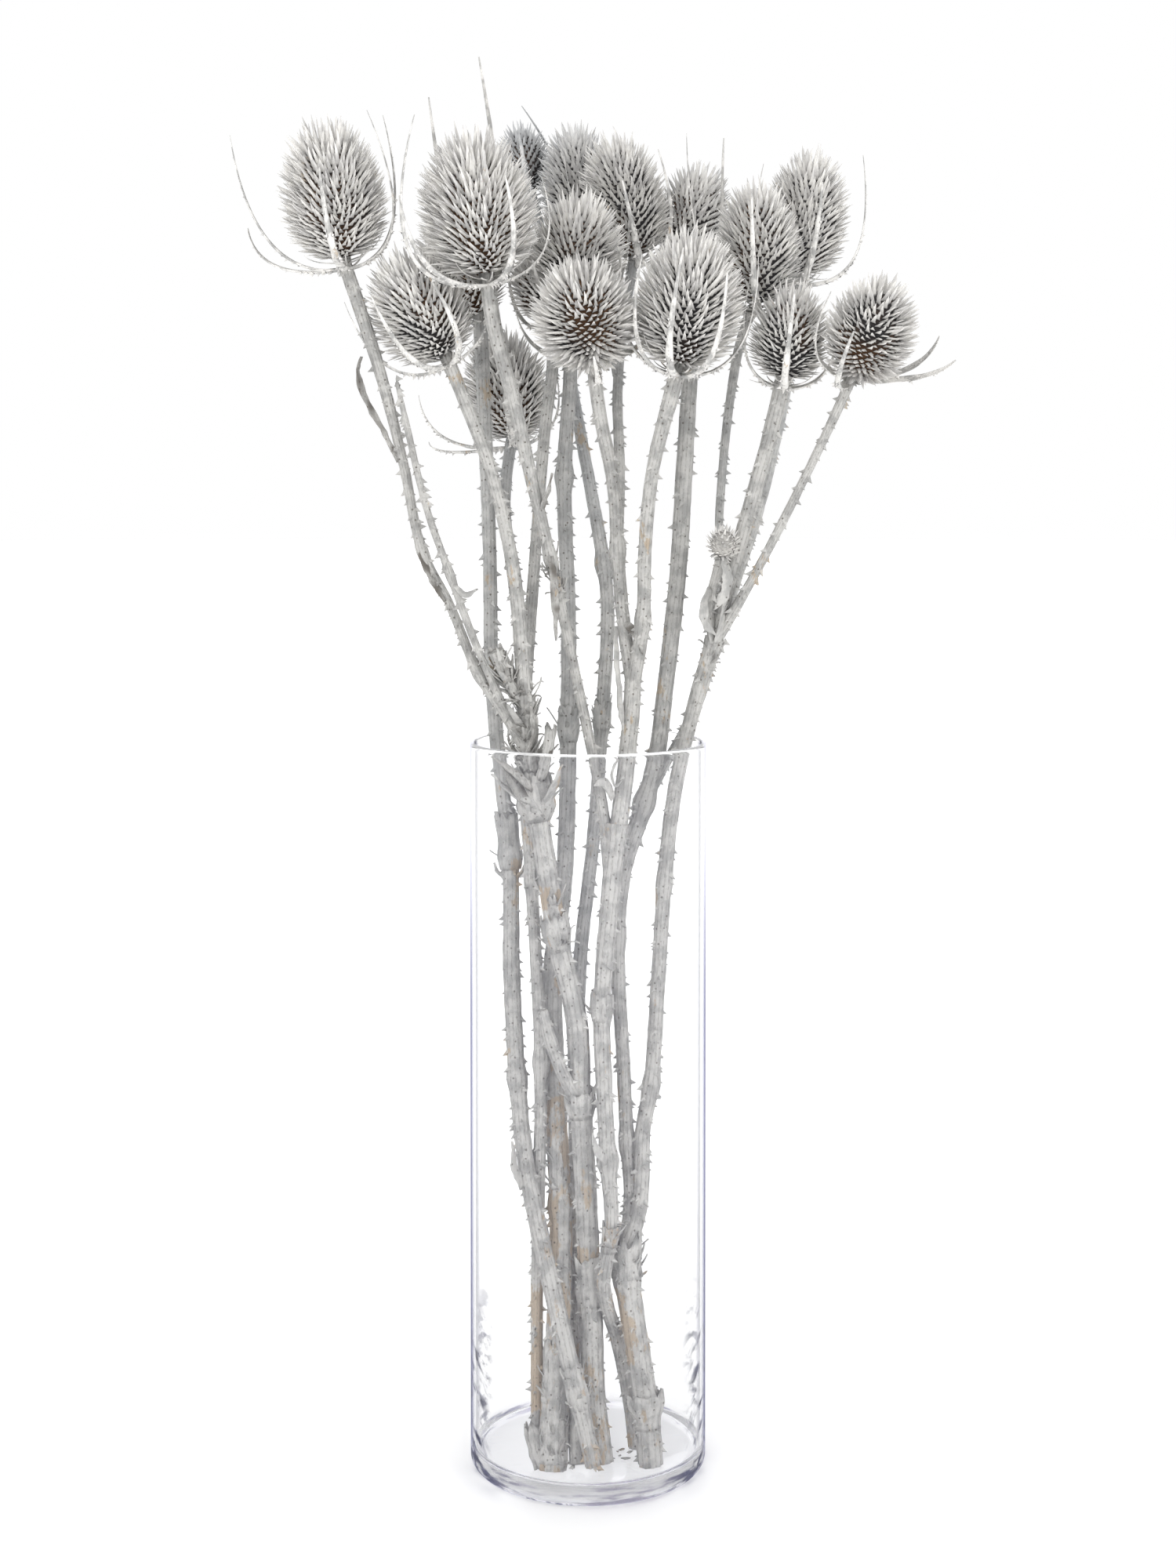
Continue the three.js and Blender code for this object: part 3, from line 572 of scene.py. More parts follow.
        [(-19, 463, -28, 2.4), (-17, 444, -31, 3), (-16, 420, -31, 1.4)],
        [(-25, 482, -30, 1.8), (-21, 494, -36, 2.4), (-18, 505, -38, 1.2)],
        [(19, 430, -10, 2), (26, 422, -16, 3), (28, 413, -18, 1.4)],
    ],
    "crumbs": [(15, -14), (17, -12), (16, -19), (21, -15), (12, -22), (19, -23), (26, -20)],
}]

rng = random.Random(20261127)


def from_front(point):
    """A point read off the front view, moved out or in for how near the eye it lies."""
    across, up, depth = (value * MM for value in point[:3])
    spread = 1 + depth / EYE_DISTANCE
    return Vector((across * spread, depth, EYE_HEIGHT - (EYE_HEIGHT - up) * spread))


def smooth_spans(points):
    """Bezier spans of a smooth path through the points."""
    ends = [points[0] * 2 - points[1], *points, points[-1] * 2 - points[-2]]
    spans = []
    for before, start, end, after in zip(ends, ends[1:], ends[2:], ends[3:]):
        d0 = math.sqrt((start - before).length)
        d1 = math.sqrt((end - start).length)
        d2 = math.sqrt((after - end).length)
        leave = ((start - before) / d0 - (end - before) / (d0 + d1) + (end - start) / d1) * d1
        arrive = ((end - start) / d1 - (after - start) / (d1 + d2) + (after - end) / d2) * d1
        spans.append((start, start + leave / 3, end - arrive / 3, end))
    return spans


def frames_along(centres, scales, side=None, twist=0.0):
    """A matrix at each centre, whose Z runs along the path and whose X and Y are scaled across it."""
    last = len(centres) - 1
    places = []
    for i, centre in enumerate(centres):
        along = (centres[min(i + 1, last)] - centres[max(i - 1, 0)]).normalized()
        side = side or along.orthogonal()
        side = (side - along * side.dot(along)).normalized()
        turned = side.copy()
        turned.rotate(Matrix.Rotation(twist * i, 3, along))
        across = along.cross(turned)
        wide, thick = scales[i]
        turn = Matrix((turned * wide, across * thick, along)).transposed().to_4x4()
        places.append(Matrix.Translation(centre) @ turn)
    return places


def drawn_tube(places, sides, shape=None):
    """A ring drawn through the places, open at both ends. shape moves each point of the ring."""
    part = bmesh.new()
    groove = part.verts.layers.float.new("groove")
    bmesh.ops.create_circle(part, cap_ends=False, segments=sides, radius=1)
    for vert in part.verts:
        if shape:
            vert.co, vert[groove] = shape(math.atan2(vert.co.y, vert.co.x), vert.co.copy())
    first = part.edges[:]
    ring = first
    verts = part.verts[:]
    bmesh.ops.transform(part, matrix=places[0], verts=part.verts[:])
    for before, place in zip(places, places[1:]):
        made = bmesh.ops.extrude_edge_only(part, edges=ring)["geom"]
        verts = [item for item in made if isinstance(item, bmesh.types.BMVert)]
        kept = set(verts)
        ring = [e for e in made if isinstance(e, bmesh.types.BMEdge) and kept.issuperset(e.verts)]
        bmesh.ops.transform(part, matrix=place @ before.inverted(), verts=verts)
    return part, first, ring, verts


def closed_tube(places, sides, shape=None):
    """A ring drawn through the places and closed at both ends."""
    part, first, last, _ = drawn_tube(places, sides, shape)
    bmesh.ops.edgeloop_fill(part, edges=first)
    bmesh.ops.edgeloop_fill(part, edges=last)
    bmesh.ops.recalc_face_normals(part, faces=part.faces[:])
    return part


def mesh_of(name, part):
    """A bmesh turned into a mesh, and freed."""
    mesh = bpy.data.meshes.new(name)
    part.to_mesh(mesh)
    part.free()
    return mesh


def put(name, data):
    """A new object in the scene."""
    made = bpy.data.objects.new(name, data)
    bpy.context.scene.collection.objects.link(made)
    return made


def mark_groove(part, value_of):
    """Says how deep in a groove each vertex lies. value_of makes that from its place."""
    groove = part.verts.layers.float.get("groove") or part.verts.layers.float.new("groove")
    for vert in part.verts:
        vert[groove] = value_of(vert.co)


def thicken(part):
    """Gives an open sleeve the thickness of a sheath."""
    bmesh.ops.recalc_face_normals(part, faces=part.faces[:])
    bmesh.ops.solidify(part, geom=part.faces[:], thickness=SHEATH_THICKNESS)


def pour(part, whole, material=0):
    """Adds one bmesh to another, smooth, and frees it."""
    for face in part.faces:
        face.material_index = material
        face.smooth = True
    mesh = mesh_of("poured", part)
    whole.from_mesh(mesh)
    bpy.data.meshes.remove(mesh)


def new_whole():
    """An empty bmesh with the layers that the materials read."""
    whole = bmesh.new()
    for layer in ("groove", "along", "tone"):
        whole.verts.layers.float.new(layer)
    return whole


def finish_piece(name, whole, materials, node):
    """Makes the object, hangs it on the root body and hides the CAD part that it stands in for."""
    piece = put(name, mesh_of(name, whole))
    for material in materials:
        piece.data.materials.append(material)
    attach(piece, "root")
    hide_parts(node)


def pointed_template(name, stations, sides, bend, sway):
    """A thin point one unit long along +Z. A station is its height, half width and half thickness."""
    centres = [Vector((sway * h * h, bend * h * h, h)) for h, wide, thick in stations]
    scales = [(wide, thick) for h, wide, thick in stations]
    part = closed_tube(frames_along(centres, scales, side=Vector((1, 0, 0))), sides)
    along = part.verts.layers.float.new("along")
    part.verts.layers.float.new("tone")
    for vert in part.verts:
        vert[along] = min(max(vert.co.z, 0.0), 1.0)
    return mesh_of(name, part)


def add_copy(whole, template, place, tone):
    """Adds one copy of a small template at a place, with its own tone."""
    copy = template.copy()
    copy.transform(place)
    copy.attributes["tone"].data.foreach_set("value", [tone] * len(copy.vertices))
    whole.from_mesh(copy)
    bpy.data.meshes.remove(copy)


def aim(origin, direction, up, scale):
    """A place whose Z is the direction, whose Y leans up, scaled along X, Y and Z."""
    side = up.cross(direction)
    side = side.normalized() if side.length > 1e-6 else direction.orthogonal().normalized()
    lift = direction.cross(side)
    turn = Matrix((side * scale[0], lift * scale[1], direction * scale[2])).transposed().to_4x4()
    return Matrix.Translation(origin) @ turn


def bent_path(start, swing, tip, pull, count):
    """A curve from the start to the tip, pulled towards the swing."""
    return geometry.interpolate_bezier(start, start.lerp(swing, pull), tip.lerp(swing, pull), tip, count)


def outward(bearing, axis):
    """The level direction at a bearing in degrees, made square to the axis."""
    angle = math.radians(bearing)
    out = Vector((math.cos(angle), math.sin(angle), 0))
    return (out - axis * out.dot(axis)).normalized()


def ragged(spot):
    """How far a torn edge reaches at a spot."""
    return noise.noise(spot * TEAR_COARSE) + 0.5 * noise.noise(spot * TEAR_FINE)


def crumple(part, scale, apart, amount):
    """Bends a thin part a little to and fro."""
    for vert in part.verts:
        across = noise.noise(vert.co * scale)
        inward = noise.noise(vert.co * scale + Vector((apart, 0, 0)))
        vert.co += Vector((across, inward, 0)) * amount


def stretch_of(centres, radii, low, high):
    """The centres and radii between two heights in millimetres."""
    kept = [i for i, centre in enumerate(centres) if low * MM <= centre.z <= high * MM]
    return [centres[i] for i in kept], [radii[i] for i in kept]


def rib_shape(angle, spot):
    """A ridge and a groove in turn round a stalk."""
    ridge = math.cos(RIBS * (angle - math.pi / 2))
    return spot * (1 + RIB_DEPTH * ridge), 0.5 - 0.5 * ridge


def drawn_line(points, steps_in):
    """Centres and half widths along a smooth line. steps_in counts the steps in one of its spans."""
    spans = smooth_spans([from_front(point) for point in points])
    centres = []
    halves = []
    for number, span in enumerate(spans):
        steps = steps_in(span)
        found = geometry.interpolate_bezier(*span, steps + 1)
        low, high = points[number][3] * MM, points[number + 1][3] * MM
        for step in range(steps + (number == len(spans) - 1)):
            centres.append(found[step])
            halves.append(low + (high - low) * step / steps)
    return centres, halves


def stalk_line(points, swellings):
    """Centres and radii along a stalk, close together."""
    centres, halves = drawn_line(points, lambda span: max(2, round((span[3] - span[0]).length / STATION)))
    radii = [half * STALK_SLIMNESS for half in halves]
    for number, factor in swellings:
        joint = from_front(points[number])
        for i, centre in enumerate(centres):
            near = max(0.0, 1 - (centre - joint).length / SWELLING_REACH)
            radii[i] *= 1 + (factor - 1) * near * near * (3 - 2 * near)
    return centres, radii


def above_floor(part):
    """Cuts a stalk flat where it stands on the vase's floor, and closes the cut."""
    level = VASE_FLOOR + FOOT_GAP
    everything = part.verts[:] + part.edges[:] + part.faces[:]
    cut = bmesh.ops.bisect_plane(
        part, geom=everything, plane_co=(0, 0, level), plane_no=(0, 0, 1), clear_inner=True
    )
    rim = [item for item in cut["geom_cut"] if isinstance(item, bmesh.types.BMEdge)]
    if rim:
        bmesh.ops.holes_fill(part, edges=rim, sides=0)


def add_sheath(whole, centres, radii, growth, tear):
    """A sleeve of old leaf base round a stalk, wider and torn at its upper edge."""
    last = len(centres) - 1
    scales = []
    for i, radius in enumerate(radii):
        wide = radius * (SHEATH_GRIP + (growth - SHEATH_GRIP) * (i / last) ** SHEATH_FLARE)
        scales.append((wide, wide))
    part, _, _, top = drawn_tube(frames_along(centres, scales), RIBS * 3, rib_shape)
    upward = (centres[-1] - centres[-2]).normalized()
    for vert in part.verts:
        turned = (vert.co - centres[0]).cross(upward)
        vert.co += turned * SHEATH_RUFFLE * noise.noise(vert.co * SHEATH_RUFFLE_SCALE)
    for vert in top:
        vert.co += upward * tear * (0.5 + ragged(vert.co))
    thicken(part)
    pour(part, whole)


def add_flakes(whole, centres, radii, count, size=1.0):
    """Torn, curled flakes of old leaf base round a joint, dark where they leave the stalk."""
    for _ in range(count):
        i = rng.randrange(1, len(centres) - 1)
        along = (centres[i + 1] - centres[i - 1]).normalized()
        out = along.orthogonal().normalized()
        out.rotate(Matrix.Rotation(rng.uniform(0, math.tau), 3, along))
        length = rng.uniform(*FLAKE_LENGTH) * size
        start = centres[i] + out * radii[i] * FLAKE_SINK
        swing = start + (along * rng.uniform(*FLAKE_RISE) + out * rng.uniform(*FLAKE_SPREAD)) * length
        tip = swing + (along * rng.uniform(*FLAKE_TIP_RISE) + out * rng.uniform(*FLAKE_TIP_SPREAD)) * length
        path = bent_path(start, swing, tip, SOFT_PULL, FLAKE_STATIONS)
        wide = rng.uniform(*FLAKE_HALF_WIDTH) * length
        scales = []
        for station in range(FLAKE_STATIONS):
            share = station / (FLAKE_STATIONS - 1)
            scales.append((wide * (FLAKE_ROOT - share) * rng.uniform(*FLAKE_RAGGED), FLAKE_THICKNESS))
        places = frames_along(path, scales, side=along.cross(out), twist=rng.uniform(*FLAKE_TWIST))
        part = closed_tube(places, THIN_SIDES)
        dark = rng.choice(FLAKE_WITHERING)
        mark_groove(part, lambda spot: max(dark, WITHERED * (1 - (spot - start).length / (0.5 * length))))
        pour(part, whole)


def add_stub(whole, points):
    """A hollow, torn stub that is open at its top."""
    centres, radii = stalk_line(points, [])
    part, _, _, top = drawn_tube(frames_along(centres, [(r, r) for r in radii]), RIBS * 2, rib_shape)
    upward = (centres[-1] - centres[-2]).normalized()
    for vert in top:
        vert.co += upward * STUB_TEAR * ragged(vert.co)
    deep = len(centres) - STUB_DEPTH
    # A dark plug a little way down the hollow: painted shade inside the stub
    narrow = [(radius * SHADE_PLUG_SHARE, radius * SHADE_PLUG_SHARE) for radius in radii[:deep]]
    plug = closed_tube(frames_along(centres[:deep], narrow), RIBS)
    mark_groove(plug, lambda spot: HOLE_GROOVES[1])
    pour(plug, whole)
    crumple(part, STUB_CRUMPLE, 5, MM)
    thicken(part)
    above_floor(part)
    pour(part, whole)


def add_crumb(whole, across, depth):
    """A crumb of dry leaf on the vase's floor."""
    part = bmesh.new()
    bmesh.ops.create_icosphere(part, subdivisions=2, radius=1)
    size = rng.uniform(*CRUMB_SIZE)
    for vert in part.verts:
        vert.co *= 1 + CRUMB_LUMPS * noise.noise(vert.co * CRUMB_LUMP_SCALE + Vector((across, depth, 0)))
        vert.co.z *= CRUMB_FLATNESS
    turn = Matrix.Rotation(rng.uniform(0, math.tau), 4, "Z")
    turn = turn @ Matrix.Diagonal((size * CRUMB_STRETCH, size, size, 1))
    bmesh.ops.transform(part, matrix=turn, verts=part.verts[:])
    lowest = min(vert.co.z for vert in part.verts)
    spot = Vector((across * MM, depth * MM, VASE_FLOOR + FOOT_GAP - lowest))
    bmesh.ops.translate(part, vec=spot, verts=part.verts[:])
    mark_groove(part, lambda spot: 1.0)
    pour(part, whole)


def add_stalk(whole, row, prickle):
    """One ribbed stalk with its sheaths, torn flakes and prickles."""
    centres, radii = stalk_line(row["points"], row.get("swellings", ()))
    scales = [(radius, radius) for radius in radii]
    places = frames_along(centres, scales, twist=STALK_TWIST)
    part = closed_tube(places, RIBS * 2, rib_shape)
    tone = part.verts.layers.float.new("tone")
    for low, high, amount in row.get("bare", ()):
        for vert in part.verts:
            if low * MM < vert.co.z < high * MM:
                vert[tone] = amount
    for vert in part.verts:
        lump = sum(weight * noise.noise(vert.co * scale) for scale, weight in LUMP_SCALES)
        near = min(range(0, len(centres), 3), key=lambda i: (centres[i] - vert.co).length_squared)
        vert.co += (vert.co - centres[near]).normalized() * radii[near] * STALK_LUMPS * lump
    above_floor(part)
    pour(part, whole)
    for low, high, growth, tear in row.get("sheaths", ()):
        sleeve = stretch_of(centres, radii, low, high)
        add_sheath(whole, *sleeve, growth, tear * MM)
        add_flakes(whole, *sleeve, round((high - low) * MM / FLAKE_SPACING))
    for low, high, count, size in row.get("torn", ()):
        add_flakes(whole, *stretch_of(centres, radii, low, high), count, size)
    for centre, turn, radius in zip(centres, [place.to_3x3() for place in places], radii):
        if centre.z < VASE_FLOOR + PRICKLE_START:
            continue
        along = turn @ Vector((0, 0, 1))
        for _ in range(round(STATION / PRICKLE_SPACING + rng.random() - 0.5)):
            angle = math.tau * rng.randrange(RIBS) / RIBS + math.pi / 2
            out = (turn @ Vector((math.cos(angle), math.sin(angle), 0))).normalized()
            spot = centre + out * radius * PRICKLE_SINK + along * rng.uniform(-0.5, 0.5) * STATION
            height = rng.uniform(*PRICKLE_HEIGHT)
            point = (out - along * rng.uniform(*PRICKLE_DROOP)).normalized()
            place = aim(spot, point, along, (height, height, height))
            add_copy(whole, prickle, place, PRICKLE_TONE * rng.random())


def egg_point(turn, radius, length):
    """Radius, height and outward direction of the core at a turn from its foot to its crown."""
    out = Vector((math.sin(turn) * length / 2, -math.cos(turn) * radius)).normalized()
    wide = radius * math.sin(turn) * (1 + EGG_FULLNESS * math.cos(turn))
    return wide, length * (1 - math.cos(turn)) / 2, out


def even_turns(radius, length, cell):
    """Turns of the spines' rows, spread so that each spine has the same patch of the core."""
    turns = [EGG_FOOT_ANGLE + EGG_SPAN * i / EGG_STEPS for i in range(EGG_STEPS + 1)]
    area = [0.0]
    for low, high in zip(turns, turns[1:]):
        r0, z0, _ = egg_point(low, radius, length)
        r1, z1, _ = egg_point(high, radius, length)
        area.append(area[-1] + math.pi * (r0 + r1) * math.hypot(r1 - r0, z1 - z0))
    count = round(area[-1] / cell)
    found = []
    spot = 0
    for number in range(count):
        wanted = area[-1] * (number + 0.5) / count
        while area[spot + 1] < wanted:
            spot += 1
        part = (wanted - area[spot]) / (area[spot + 1] - area[spot])
        found.append(turns[spot] + (turns[spot + 1] - turns[spot]) * part)
    return found


def add_core(whole, stand, radius, length, material):
    """The egg that the spines stand on."""
    part = bmesh.new()
    bmesh.ops.create_uvsphere(part, u_segments=28, v_segments=20, radius=1)
    mark_groove(part, lambda spot: 1.0)
    for vert in part.verts:
        turn = math.acos(max(-1.0, min(1.0, -vert.co.z)))
        around = math.atan2(vert.co.y, vert.co.x)
        wide, height, _ = egg_point(turn, radius * CORE_SHARE, length)
        vert.co = Vector((wide * math.cos(around), wide * math.sin(around), height))
    bmesh.ops.transform(part, matrix=stand, verts=part.verts[:])
    pour(part, whole, material=material)


def add_spines(whole, stand, width, radius, length, spine, templates):
    """The spines of one head, wound round it in spirals."""
    smallness = min(1.0, width / SMALL_HEAD)
    thickness = SPINE_WIDTH * smallness**0.6
    for number, turn in enumerate(even_turns(radius, length, SPINE_CELL * smallness**0.5)):
        wide, height, out = egg_point(turn, radius, length)
        share = (turn - EGG_FOOT_ANGLE) / EGG_SPAN
        angle = number * GOLDEN_ANGLE
        lean = Vector((out.x, out.y + SPINE_RISE + FOOT_LIFT * (1 - share) ** 3)).normalized()
        reach = spine * (1 + TUFT_EXTRA * share**4) * rng.uniform(*SPINE_LENGTHS)
        round_it = Vector((math.cos(angle), math.sin(angle), 0))
        root = round_it * wide + Vector((0, 0, height))
        point = (round_it * lean.x + Vector((0, 0, lean.y))).normalized()
        point += Vector([rng.gauss(0, SPINE_WANDER) for _ in range(3)])
        place = stand @ aim(root, point.normalized(), Vector((0, 0, 1)), (thickness, reach, reach))
        add_copy(whole, templates[rng.randrange(SPINE_KINDS)], place, rng.random())


def blade_shape(angle, spot):
    """A thin blade with a channel along its inner side and a keel along its outer side."""
    if spot.y > 0:
        return Vector((spot.x, -BLADE_CHANNEL * (1 - spot.x * spot.x), spot.z)), 0.8
    return Vector((spot.x, spot.y * BLADE_KEEL, spot.z)), 0.1


def add_bract(whole, base, axis, width, row, prickle):
    """One long bract, curved up round the head, with prickles along its keel."""
    bearing, asked, rise, curl = row
    reach = max(asked, BRACT_CLEARANCE * width) * MM
    out = outward(bearing, axis)
    start = base - axis * BRACT_DROP
    swing = start + out * reach * (1 + BRACT_BULGE * (1 - curl))
    tip = base + out * reach * curl + axis * rise * MM
    centres = bent_path(start, swing, tip, 2 / 3, BRACT_STATIONS)
    root, end = BRACT_HALF_WIDTH
    halves = []
    for station in range(BRACT_STATIONS):
        share = station / (BRACT_STATIONS - 1)
        wave = 1 + BRACT_WAVE * math.sin(BRACT_WAVES * share + bearing)
        halves.append(end + (root - end) * (1 - share) ** BRACT_TAPER * wave)
    places = frames_along(centres, [(half, half) for half in halves], side=axis.cross(out))
    pour(closed_tube(places, 8, blade_shape), whole, material=BRACT_PAINT)
    for _ in range(BRACT_PRICKLES):
        i = rng.randrange(1, BRACT_STATIONS - 2)
        turn = places[i].to_3x3()
        sideways = turn @ Vector((rng.choice((-0.9, 0.9, 0)), -0.6, 0))
        along = (turn @ Vector((0, 0, 1))).normalized()
        height = rng.uniform(*BRACT_PRICKLE_HEIGHT) * halves[i]
        point = (sideways.normalized() + along * 0.3).normalized()
        place = aim(centres[i] + sideways * 0.9, point, along, (height, height, height))
        add_copy(whole, prickle, place, rng.random())


def add_small_bracts(whole, base, axis, width):
    """Short, ragged bracts round the foot of a head."""
    for number in range(SMALL_BRACTS):
        out = outward(360 * (number + rng.random() * 0.7) / SMALL_BRACTS, axis)
        start = base - axis * rng.uniform(*SMALL_BRACT_DROP)
        reach = width * MM * rng.uniform(*SMALL_BRACT_REACH)
        swing = start + out * reach
        tip = swing + axis * rng.uniform(*SMALL_BRACT_RISE) * reach + out * reach * 0.2
        centres = bent_path(start, swing, tip, SOFT_PULL, SMALL_BRACT_STATIONS)
        root, end = SMALL_BRACT_HALF_WIDTH
        last = SMALL_BRACT_STATIONS - 1
        halves = [root * (1 - i / last) ** 0.9 + end for i in range(last + 1)]
        places = frames_along(centres, [(half, half) for half in halves], side=axis.cross(out))
        pour(closed_tube(places, THIN_SIDES, blade_shape), whole, material=BRACT_PAINT)


def build_head(name, row, node, templates, prickle, materials):
    """One seed head: core, spines, and the bracts under it."""
    base = from_front(row["base"])
    axis = from_front(row["tip"]) - base
    height = axis.length
    axis.normalize()
    spine = SPINE_SHARE * row["width"] * MM
    radius = row["width"] * MM / 2 - SPINE_STAND_OFF * spine
    length = height - spine * (1 + TUFT_EXTRA)
    stand = Matrix.Translation(base) @ axis.to_track_quat("Z", "Y").to_matrix().to_4x4()
    whole = new_whole()
    bracts = row.get("bracts")
    # A head without bracts takes the bract paint on its core, darkened all over by the bract's painted
    # shadow
    add_core(whole, stand, radius, length, CORE_SHADE if bracts else BRACT_PAINT)
    add_spines(whole, stand, row["width"], radius, length, spine, templates)
    if bracts:
        for bract in bracts:
            add_bract(whole, base, axis, row["width"], bract, prickle)
        add_small_bracts(whole, base, axis, row["width"])
    finish_piece(name, whole, materials, node)


def add_scrap(whole, points, dark):
    """A torn, curled strip of leaf base. dark is how far it has withered."""
    centres, halves = drawn_line(points, lambda span: SCRAP_STEPS)
    last = len(halves) - 1
    scales = [
        (half * rng.uniform(*SCRAP_RAGGED) * min(1.0, 0.25 + (last - i) * 0.2), SCRAP_THICKNESS)
        for i, half in enumerate(halves)
    ]
    part = closed_tube(frames_along(centres, scales, twist=SCRAP_TWIST), SCRAP_SIDES)
    mark_groove(part, lambda spot: dark * (1 + 0.5 * noise.noise(spot * WITHERED_PATCHES)))
    crumple(part, SCRAP_CRUMPLE, 7, 0.9 * MM)
    pour(part, whole)


def build_stalks(row, prickle, materials):
    """All stalks and leaf scraps of one cut stem."""
    whole = new_whole()
    for stalk in row["stalks"]:
        add_stalk(whole, stalk, prickle)
    for points in row.get("scraps", ()):
        add_scrap(whole, points, 0.0)
    for points in row.get("withered", ()):
        add_scrap(whole, points, WITHERED)
    for points in row.get("stubs", ()):
        add_stub(whole, points)
    for across, depth in row.get("crumbs", ()):
        add_crumb(whole, across, depth)
    finish_piece(row["name"] + ".stalks", whole, materials, row["name"])


def arc(middle_radius, middle_height, radius, start, end):
    """Points of an arc in the vase's section, from one turn to another in half circles."""
    found = []
    for i in range(ARC_STEPS + 1):
        angle = math.pi * (start + (end - start) * i / ARC_STEPS)
        found.append((middle_radius + radius * math.cos(angle), middle_height + radius * math.sin(angle)))
    return found


def build_vase(wall, rim, floor):
    """The glass cylinder, its section spun round the axis."""
    inner = VASE_RADIUS - VASE_WALL
    lip = VASE_WALL / 2
    section = [
        (0, 0), (VASE_RADIUS - HEEL_RADIUS - CORNER_GUARD, 0),
        *arc(VASE_RADIUS - HEEL_RADIUS, HEEL_RADIUS, HEEL_RADIUS, -0.5, 0),
        (VASE_RADIUS, HEEL_RADIUS + CORNER_GUARD), (VASE_RADIUS, VASE_HEIGHT - lip - CORNER_GUARD),
        *arc(inner + lip, VASE_HEIGHT - lip, lip, 0, 1),
        (inner, VASE_HEIGHT - lip - CORNER_GUARD), (inner, VASE_FLOOR + INNER_CORNER + CORNER_GUARD),
        *arc(inner - INNER_CORNER, VASE_FLOOR + INNER_CORNER, INNER_CORNER, 0, -0.5),
        (inner - INNER_CORNER - CORNER_GUARD, VASE_FLOOR), (0, VASE_FLOOR),
    ]
    part = bmesh.new()
    verts = [part.verts.new((radius, 0, height)) for radius, height in section]
    edges = [part.edges.new(pair) for pair in zip(verts, verts[1:])]
    bmesh.ops.spin(
        part, geom=verts + edges, cent=(0, 0, 0), axis=(0, 0, 1), dvec=(0, 0, 0),
        angle=math.tau, steps=VASE_STEPS, use_merge=True,
    )
    bmesh.ops.remove_doubles(part, verts=part.verts[:], dist=0.00001)
    bmesh.ops.recalc_face_normals(part, faces=part.faces[:])
    for face in part.faces:
        face.smooth = True
        middle = face.calc_center_median()
        # The rim and the floor inside take glass that glows with painted light
        face.material_index = int(middle.z > VASE_HEIGHT - lip)
        on_floor = abs(middle.z - VASE_FLOOR) < MM / 10
        if on_floor and math.hypot(middle.x, middle.y) < inner - INNER_CORNER:
            face.material_index = 2
    finish_piece("vase.glass", part, [wall, rim, floor], "vase")


class Web:
    """The nodes of one material, world or node group, with short ways to add to them."""

    def __init__(self, tree):
        self.nodes = tree.nodes
        self.links = tree.links

    def set(self, target, value):
        """Gives a socket a value, or joins it to another socket."""
        if isinstance(value, bpy.types.NodeSocket):
            self.links.new(value, target)
        else:
            target.default_value = value

    def add(self, kind, **inputs):
        """One node with its inputs. An underscore in an input's name stands for a space."""
        node = self.nodes.new("ShaderNode" + kind)
        for name, value in inputs.items():
            self.set(node.inputs[name.replace("_", " ")], value)
        return node

    def spot(self):
        """Where on the object the surface is, in metres."""
        return self.add("TexCoord").outputs["Object"]

    def split(self, vector):
        """The three parts of a vector."""
        return self.add("SeparateXYZ", Vector=vector).outputs

    def stretched(self, vector, scale):
        """A place whose pattern is drawn out along the axes with a small scale."""
        return self.add("Mapping", Vector=vector, Scale=scale).outputs["Vector"]

    def ramp(self, value, low, high, smooth=True):
        """A value mapped to 0..1 between low and high."""
        node = self.add("MapRange", Value=value, From_Min=low, From_Max=high)
        node.interpolation_type = "SMOOTHSTEP" if smooth else "LINEAR"
        return node.outputs["Result"]

    def mix(self, kind, factor, first, second):
        """Mixes two values or colours, each given or a socket."""
        node = self.add("Mix")
        node.data_type = "RGBA" if kind == "RGBA" else "FLOAT"
        self.set(node.inputs["Factor"], factor)
        for name, value in (("A", first), ("B", second)):
            self.set(next(s for s in node.inputs if s.name == name and s.type == kind), value)
        return next(s for s in node.outputs if s.type == kind)

    def blend(self, factor, first, second):
        """The first colour, or the second where the factor is 1."""
        return self.mix("RGBA", factor, first, second)

    def choose(self, factor, first, second):
        """The first value, or the second where the factor is 1."""
        return self.mix("VALUE", factor, first, second)

    def maths(self, operation, first, second=0.0):
        """One arithmetic node."""
        node = self.add("Math")
        node.operation = operation
        self.set(node.inputs[0], first)
        self.set(node.inputs[1], second)
        return node.outputs["Value"]

    def times(self, *values):
        """The product of several values."""
        product = values[0]
        for value in values[1:]:
            product = self.maths("MULTIPLY", product, value)
        return product

    def noise(self, vector, scale, detail=4.0, roughness=0.55):
        """A noise value at a scale per metre."""
        node = self.add("TexNoise", Vector=vector, Scale=scale, Detail=detail, Roughness=roughness)
        return node.outputs["Fac"]

    def attribute(self, name):
        """The value of a mesh attribute."""
        node = self.add("Attribute")
        node.attribute_name = name
        return node.outputs["Fac"]

    def relief(self, height, strength, distance):
        """A bumped normal."""
        return self.add("Bump", Strength=strength, Distance=distance, Height=height).outputs["Normal"]


def new_material(name, **constants):
    """A material with constant numbers on its shader, and the web of its nodes."""
    material = bpy.data.materials.new(name)
    material.use_nodes = True
    web = Web(material.node_tree)
    shader = web.nodes["Principled BSDF"]
    for key, value in constants.items():
        shader.inputs[key.replace("_", " ")].default_value = value
    return material, web, shader


def socket(group, name, kind, direction, value=None):
    """One named socket of a node group."""
    made = group.interface.new_socket(name=name, in_out=direction, socket_type="NodeSocket" + kind)
    if value is not None:
        made.default_value = value


